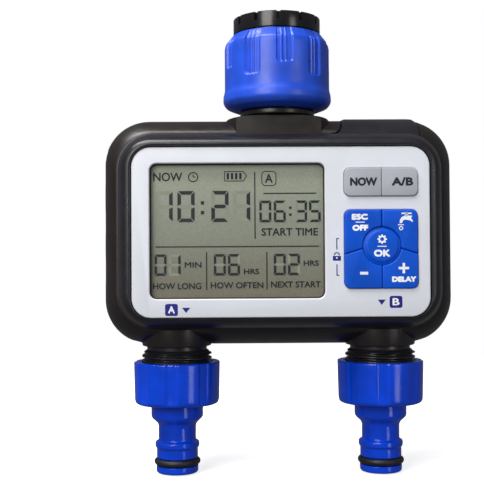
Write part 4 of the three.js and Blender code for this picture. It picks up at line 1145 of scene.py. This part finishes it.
def slot_depth(angles, z):
    """How far the collar's slots cut in at these angles and this height."""
    depth = np.zeros(len(angles))
    for i in range(SLOT.count):
        centre = math.radians(-90 + SLOT.turn + i * 360 / SLOT.count)
        bottom = SLOT.long if i % 2 else SLOT.short
        across = ((angles - centre + math.pi) % (2 * math.pi) - math.pi) * COLLAR.wall_r
        corner = SLOT.corner
        dx = np.abs(across) - (SLOT.half - corner)
        dz = (bottom + corner) - z
        outside = np.hypot(np.maximum(dx, 0), max(dz, 0)) + np.minimum(np.maximum(dx, dz), 0) - corner
        inside = 1 - smooth_step(outside, -0.22, 0.16)
        ridges = sum(np.exp(-((across - place) / 0.22) ** 2) for place in (-1.05, 0.55))
        depth += SLOT.depth * inside * (1 - 0.55 * np.minimum(ridges, 1))
    return depth


def collar():
    lip = NECK.rim_z - GAP
    bore = REDUCER.thread_r + GAP
    throat = NECK.throat_r + GAP
    top = rounded([(bore, COLLAR.top_z), (COLLAR.top_r, COLLAR.top_z, 0.3),
                   (COLLAR.chamfer_r, COLLAR.chamfer_z, 0.7), (COLLAR.wall_r, -22.0)], 0.2, 6)[6:-6]
    wall = [(COLLAR.wall_r, z) for z in np.arange(-11.2, SLOT.long - 1.0, -0.42)]
    bead = COLLAR_BEAD
    lower = rounded([(COLLAR.wall_r, -24.6), (COLLAR.wall_r, COLLAR.wall_z, 1.6),
                     (bead.r - 0.1, bead.z + 2.2, 0.7), (bead.r, bead.z - 0.4, 2.0),
                     (bead.r - 1.3, bead.z - 2.1, 0.8), (bead.under_r + 1.2, bead.under_z, 1.2),
                     (bead.under_r, bead.under_z)], 0.3, 6)[6:-6]
    inside = [(throat, bead.under_z), (throat, lip), (bore, lip)]
    rows = [(bore, COLLAR.top_z)] + list(top) + wall + list(lower) + [(bead.under_r, bead.under_z)] + inside

    def shape(r, z, angles):
        cut_in = slot_depth(angles, z) if r > COLLAR.top_r - 0.4 and z > SLOT.long - 1.5 else 0.0
        reach = np.full(len(angles), r) - cut_in
        least = COLLAR.top_r - 0.2 if r > COLLAR.top_r - 0.2 else 0.0
        return np.maximum(reach, least)

    piece = turned("inlet_collar_skin", rows, steps=640, shape=shape)
    dress(piece, "inlet_collar", "blue_satin", "inlet_collar", sharp=55)


def reducer():
    """Threaded reducing ring whose rim is notched for a wrench."""
    profile = rounded([(REDUCER.bore_r, 0, 0.6), (REDUCER.r, 0, 0.35), (REDUCER.r, REDUCER.head_z, 0.3),
                       (REDUCER.thread_r, REDUCER.head_z, 0.05), (REDUCER.thread_r, REDUCER.end_z),
                       (REDUCER.hole_r, REDUCER.end_z), (REDUCER.hole_r, REDUCER.seat_z),
                       (REDUCER.bore_r, REDUCER.seat_z)], 0.1, 4)

    ring = turned("inlet_reducer_skin", profile, steps=192)
    inner = REDUCER.r - CASTLE.deep
    for i in range(CASTLE.count):
        notch = prism("castle_notch", [(inner, -CASTLE.high), (REDUCER.r + 1, -CASTLE.high),
                                       (REDUCER.r + 1, 1), (inner, 1)], -CASTLE.half, CASTLE.half, 0.0)
        notch.data.transform(Matrix.Rotation(i * 2 * math.pi / CASTLE.count, 4, "Z"))
        cut(ring, notch)
    dress(ring, "inlet_reducer", "black_gloss", "inlet_reducer")


def inlet_neck():
    """Flanged neck between the collar and the housing, with the sealing rim that the collar hangs from."""
    top = COLLAR_BEAD.under_z - GAP
    ground = HOUSING_Z + HALF_H + INLET_BOSS.rise
    profile = rounded([(NECK.bore_r, NECK.top_z), (NECK.seal_r, NECK.top_z, 0.4),
                       (NECK.seal_r, NECK.rim_z, 0.3), (NECK.throat_r, NECK.rim_z, 0.1),
                       (NECK.throat_r, top, 0.1), (NECK.flange_r, top, 0.5),
                       (NECK.flange_r, NECK.flange_z, 0.5), (NECK.r + 2.4, NECK.flange_z, 0.2),
                       (NECK.r, ground + 0.15, 0.9), (NECK.r, NECK.end_z),
                       (NECK.bore_r, NECK.end_z)], 0.05, 6)
    neck = turned("inlet_neck_skin", profile, steps=160)
    dress(neck, "housing", "black_plastic", "inlet_neck")


# ---------------------------------------------------------------- outlets
def thread_rows():
    """Heights through the outlet thread, ten to a turn."""
    return np.arange(THREAD.top_z, THREAD.end_z - 1e-6, -THREAD.pitch / 10)


def valve_body(letter, side):
    """Valve chamber with its stem boss, and the spigot under the housing, whose thread is a true helix."""
    span = THREAD.crest_r - THREAD.root_r

    def shape(r, z, angles):
        if abs(r - THREAD.root_r) > 0.01:
            return np.full(len(angles), r)
        turn = (THREAD.top_z - z) / THREAD.pitch - angles / (2 * math.pi)
        tooth = np.clip(1.9 * (0.5 - np.abs(turn % 1 - 0.5)) * 2 - 0.35, 0, 1)
        fade = min(max((THREAD.top_z - z) / 0.9, 0), 1) * min(max((z - THREAD.end_z) / 0.9, 0), 1)
        return THREAD.root_r + span * tooth * fade

    rows = [(VALVE.chamber_r, VALVE.top_z), (VALVE.r, VALVE.top_z), (VALVE.r, VALVE.step_z),
            (VALVE.neck_r, VALVE.step_z - 0.1), (VALVE.neck_r, THREAD.top_z + 0.5)]
    rows += [(THREAD.root_r, z) for z in thread_rows()]
    rows += [(VALVE.neck_r, THREAD.end_z), (VALVE.bore_r, THREAD.end_z),
             (VALVE.bore_r, VALVE.floor_z), (VALVE.chamber_r, VALVE.floor_z)]
    body = turned(f"valve_body_skin_{letter}", rows, steps=96, shape=shape, across=side * OUTLET_X)
    join(body, stem_bar("stem_boss", side, STEM_BOSS.r, STEM_BOSS.start, STEM_BOSS.end))
    cut(body, stem_bar("stem_hole", side, STEM_BOSS.bore_r, 6, STEM_BOSS.end + 1))
    dress(body, "housing", "black_plastic", f"valve_body_{letter}", sharp=50)


def stem_bar(name, side, r, start, end):
    """A round bar along the valve stem's line, between two distances from the outlet's axis."""
    bar = turned(name, [(0, start), (r, start), (r, end), (0, end)], steps=32, around=False)
    place = Matrix.Translation(Vector((side * OUTLET_X, 0, STEM_BOSS.z)) * MM)
    bar.data.transform(place @ Matrix.Rotation(-side * math.pi / 2, 4, "Y"))
    return bar


def connector_outline():
    """Section of the union nut and nipple: down the outside, past the O-ring's groove and up the bore."""
    groove_r = O_RING.r - O_RING.section - GAP
    groove_top, groove_end = O_RING.z + 1.5, O_RING.z - 1.5
    nut = [(NUT.bore_r, NUT.top_z, 0.2), (NUT.r, NUT.top_z, 0.6), (NUT.end_r, NUT.end_z, 1.9)]
    neck = [(NIPPLE.flange_r, NUT.end_z, 0.3), (NIPPLE.flange_r, NIPPLE.flange_z, 0.8),
            (NIPPLE.neck_r, NIPPLE.neck_top, 1.2), (NIPPLE.neck_r, NIPPLE.neck_end, 0.6)]
    barrel = [(NIPPLE.bead_r, NIPPLE.bead_z + 0.9, 0.5), (NIPPLE.bead_r, NIPPLE.bead_z - 0.9, 0.5),
              (NIPPLE.barrel_r, NIPPLE.bead_z - 1.5, 0.3), (NIPPLE.barrel_r, groove_top, 0.2)]
    groove = [(groove_r, groove_top, 0.2), (groove_r, groove_end, 0.2)]
    end = [(NIPPLE.end_r, groove_end, 0.25), (NIPPLE.end_r, NIPPLE.end_z, 1.0)]
    inside = [(NIPPLE.bore_r, NIPPLE.end_z, 0.5), (NIPPLE.bore_r, NUT.floor_z, 0.2),
              (NUT.bore_r, NUT.floor_z, 0.2)]
    return rounded(nut + neck + barrel + groove + end + inside, 0.2, 6)


def nut_flats(r, z, angles):
    """Broad shallow flats round the nut, which fade out at its rounded lower edge."""
    radii = np.full(len(angles), float(r))
    if r > NUT.bore_r + 0.3:
        height = smooth_step(np.array([z]), NUT.end_z + 0.4, NUT.end_z + 2.2)[0]
        flats = smooth_step(np.cos(8 * angles + 0.6), 0.35, 0.75)
        radii -= 0.45 * flats * height
    return radii


def connector(letter, side):
    """Click-on hose nipple and its union nut, in one skin."""
    outer = connector_outline()
    grid = []
    for a, b in zip(outer, np.roll(outer, -1, 0)):
        count = max(int(abs(b[1] - a[1]) / 2.0), 1)
        grid += [a + (b - a) * k / count for k in range(count)]
    body = f"outlet_connector_{letter}"
    piece = turned(f"{body}_skin", grid, steps=224, shape=nut_flats, across=side * OUTLET_X)
    dress(piece, body, "blue_gloss", body, sharp=50)


def o_ring(letter, side):
    section = O_RING.section / 2
    circle = unit_circle(20) * section + (O_RING.r - section, O_RING.z)
    seal = turned(f"o_ring_{letter}", circle, steps=96, across=side * OUTLET_X)
    dress(seal, f"outlet_connector_{letter}", "seal_rubber", f"connector_o_ring_{letter}")


# ---------------------------------------------------------------- battery drawer
def battery_cover():
    """Cover with a rounded edge and finger ribs on a sunk panel."""
    rect = centred(COVER.w, COVER.h, COVER.r, BATTERY_Z)
    front = BACK_Y - COVER.thick
    stations = [(front, 0), (BACK_Y - 0.5, 0), (BACK_Y - 0.15, -0.15), (BACK_Y, -0.5)]
    lid = plate("battery_cover_skin", rect, stations)
    sunk = centred(12, 5, 2, BATTERY_Z)
    cut(lid, plate("finger_panel", sunk, [(BACK_Y - 0.9, -0.5), (BACK_Y + 0.2, 0.3)]))
    for dz in (-3, -1.5, 0, 1.5, 3):
        bar = centred(10, 0.35, 0.3, BATTERY_Z + dz)
        stations = [(BACK_Y - 1.2, 0.1), (BACK_Y - 0.3, 0), (BACK_Y - 0.1, -0.15)]
        join(lid, plate("finger_rib", bar, stations, steps=4))
    # the cover wears the black with a painted brown reflection
    dress(lid, "battery_drawer", "black_plastic", "battery_cover", material=MATERIALS["rear_black_with_reflection"])


def battery_cell(number, side):
    """An AA cell: sleeved can with crimped ends and a steel nub."""
    half, flat = CELL.half, CELL.half - CELL.nub
    can = rounded([(0, -half), (CELL.r, -half, 0.7), (CELL.r, flat, 0.7), (CELL.nub_r + 0.6, flat, 0.2),
                   (CELL.nub_r, flat + 0.05, 0.1), (CELL.nub_r, half, 0.4), (0, half)], 0.1, 4)
    centre = Vector((0, CELL.y, HOUSING_Z + BATTERY_Z - side * CELL.z)) * MM
    turn = Matrix.Rotation(side * math.pi / 2, 4, "Y")
    cell = turned(f"aa_cell_{number}", can, steps=64, around=False)
    cell.data.transform(Matrix.Translation(centre) @ turn)
    dress(cell, "battery_drawer", "cell_sleeve", f"battery_{number}")


# ---------------------------------------------------------------- stage, light and camera
CAMERA = Sizes(place=(-17.7, -364.3, -92.4), yaw=0.63, pitch=-1.22, roll=-0.32, lens=71.1)


def camera():
    yaw = Matrix.Rotation(math.radians(CAMERA.yaw), 3, "Z")
    pitch = Matrix.Rotation(math.radians(CAMERA.pitch), 3, "X")
    roll = Matrix.Rotation(math.radians(CAMERA.roll), 3, "Y")
    right, forward, up = roll @ pitch @ yaw
    data = bpy.data.cameras.new("camera")
    data.lens = CAMERA.lens
    data.sensor_width = 36
    data.clip_start = 0.02
    obj = bpy.data.objects.new("camera", data)
    turn = Matrix((right, up, -forward)).transposed().to_4x4()
    obj.matrix_world = Matrix.Translation(Vector(CAMERA.place) * MM) @ turn
    scene.collection.objects.link(obj)
    scene.camera = obj


def area_light(name, place, target, size, power, rgb=(255, 255, 255)):
    data = bpy.data.lights.new(name, "AREA")
    data.shape = "RECTANGLE"
    data.size, data.size_y = size
    data.energy = power
    data.color = linear(rgb)[:3]
    obj = bpy.data.objects.new(name, data)
    obj.location = place
    obj.rotation_euler = (Vector(target) - Vector(place)).to_track_quat("-Z", "Y").to_euler()
    scene.collection.objects.link(obj)


def surround(strength, rgb):
    """A dim surround to light the object, which the camera itself sees as plain white."""
    world = bpy.data.worlds.new("studio")
    world.use_nodes = True
    tree = world.node_tree
    dim = tree.nodes["Background"]
    dim.inputs["Color"].default_value = linear(rgb)
    dim.inputs["Strength"].default_value = strength
    white = tree.nodes.new("ShaderNodeBackground")
    white.inputs["Color"].default_value = (1, 1, 1, 1)
    seen = tree.nodes.new("ShaderNodeLightPath")
    mix = tree.nodes.new("ShaderNodeMixShader")
    tree.links.new(seen.outputs["Is Camera Ray"], mix.inputs["Fac"])
    tree.links.new(dim.outputs["Background"], mix.inputs[1])
    tree.links.new(white.outputs["Background"], mix.inputs[2])
    tree.links.new(mix.outputs["Shader"], tree.nodes["World Output"].inputs["Surface"])
    scene.world = world


FLOOR = Sizes(half=900, front=-900, back=420, drop=0.5)


def floor():
    """A plain pale floor, lit up a little itself, that throws no light back on the object."""
    z = cad_box[0][2] / MM - FLOOR.drop
    corners = [(-FLOOR.half, FLOOR.front), (FLOOR.half, FLOOR.front), (FLOOR.half, FLOOR.back),
               (-FLOOR.half, FLOOR.back)]
    paper = moulded("pale_floor", (250, 250, 251), 0.9, grain=2.0, variation=0.002,
                    Emission_Color=(1, 1, 1, 1), Emission_Strength=0.75)
    sheet = new_object("floor", [(x, y, z) for x, y in corners], [(0, 1, 2, 3)])
    sheet.data.materials.append(paper)
    sheet.visible_diffuse = False
    sheet.visible_glossy = False


def studio():
    """White surround, pale floor, a broad key from the left, a weak fill and a strip of light overhead."""
    floor()
    surround(0.16, (244, 247, 255))
    centre = (0.0, 0.0, -0.085)
    area_light("key", (-0.45, -0.85, 0.26), centre, (0.45, 0.6), 5.7, (255, 252, 246))
    area_light("fill", (0.7, -0.85, -0.1), centre, (0.25, 0.8), 2.5)
    area_light("top", (-0.25, -0.2, 0.5), (0, 0, -0.04), (0.6, 0.2), 5.5)
    scene.view_settings.view_transform = "Standard"


# ---------------------------------------------------------------- the model
def cad_materials():
    """Every CAD node gets the finish of its slot; the visible ones are replaced further on."""
    for subpart in frame["record"]["subparts"]:
        node = frame["nodes"][subpart["node"]]
        node.data.materials.clear()
        node.data.materials.append(MATERIALS[subpart["material_slot"]])


def build():
    cad_materials()
    camera()
    studio()
    front_shell()
    rear_shell()
    for side in SIDES.values():
        grip(side)
    fascia()
    fascia_print()
    window()
    display()
    keys()
    key_labels()
    collar()
    reducer()
    inlet_neck()
    for letter, side in (("a", -1), ("b", 1)):
        valve_body(letter, side)
        connector(letter, side)
        o_ring(letter, side)
    battery_cover()
    battery_cell(1, 1)
    battery_cell(2, -1)


build()
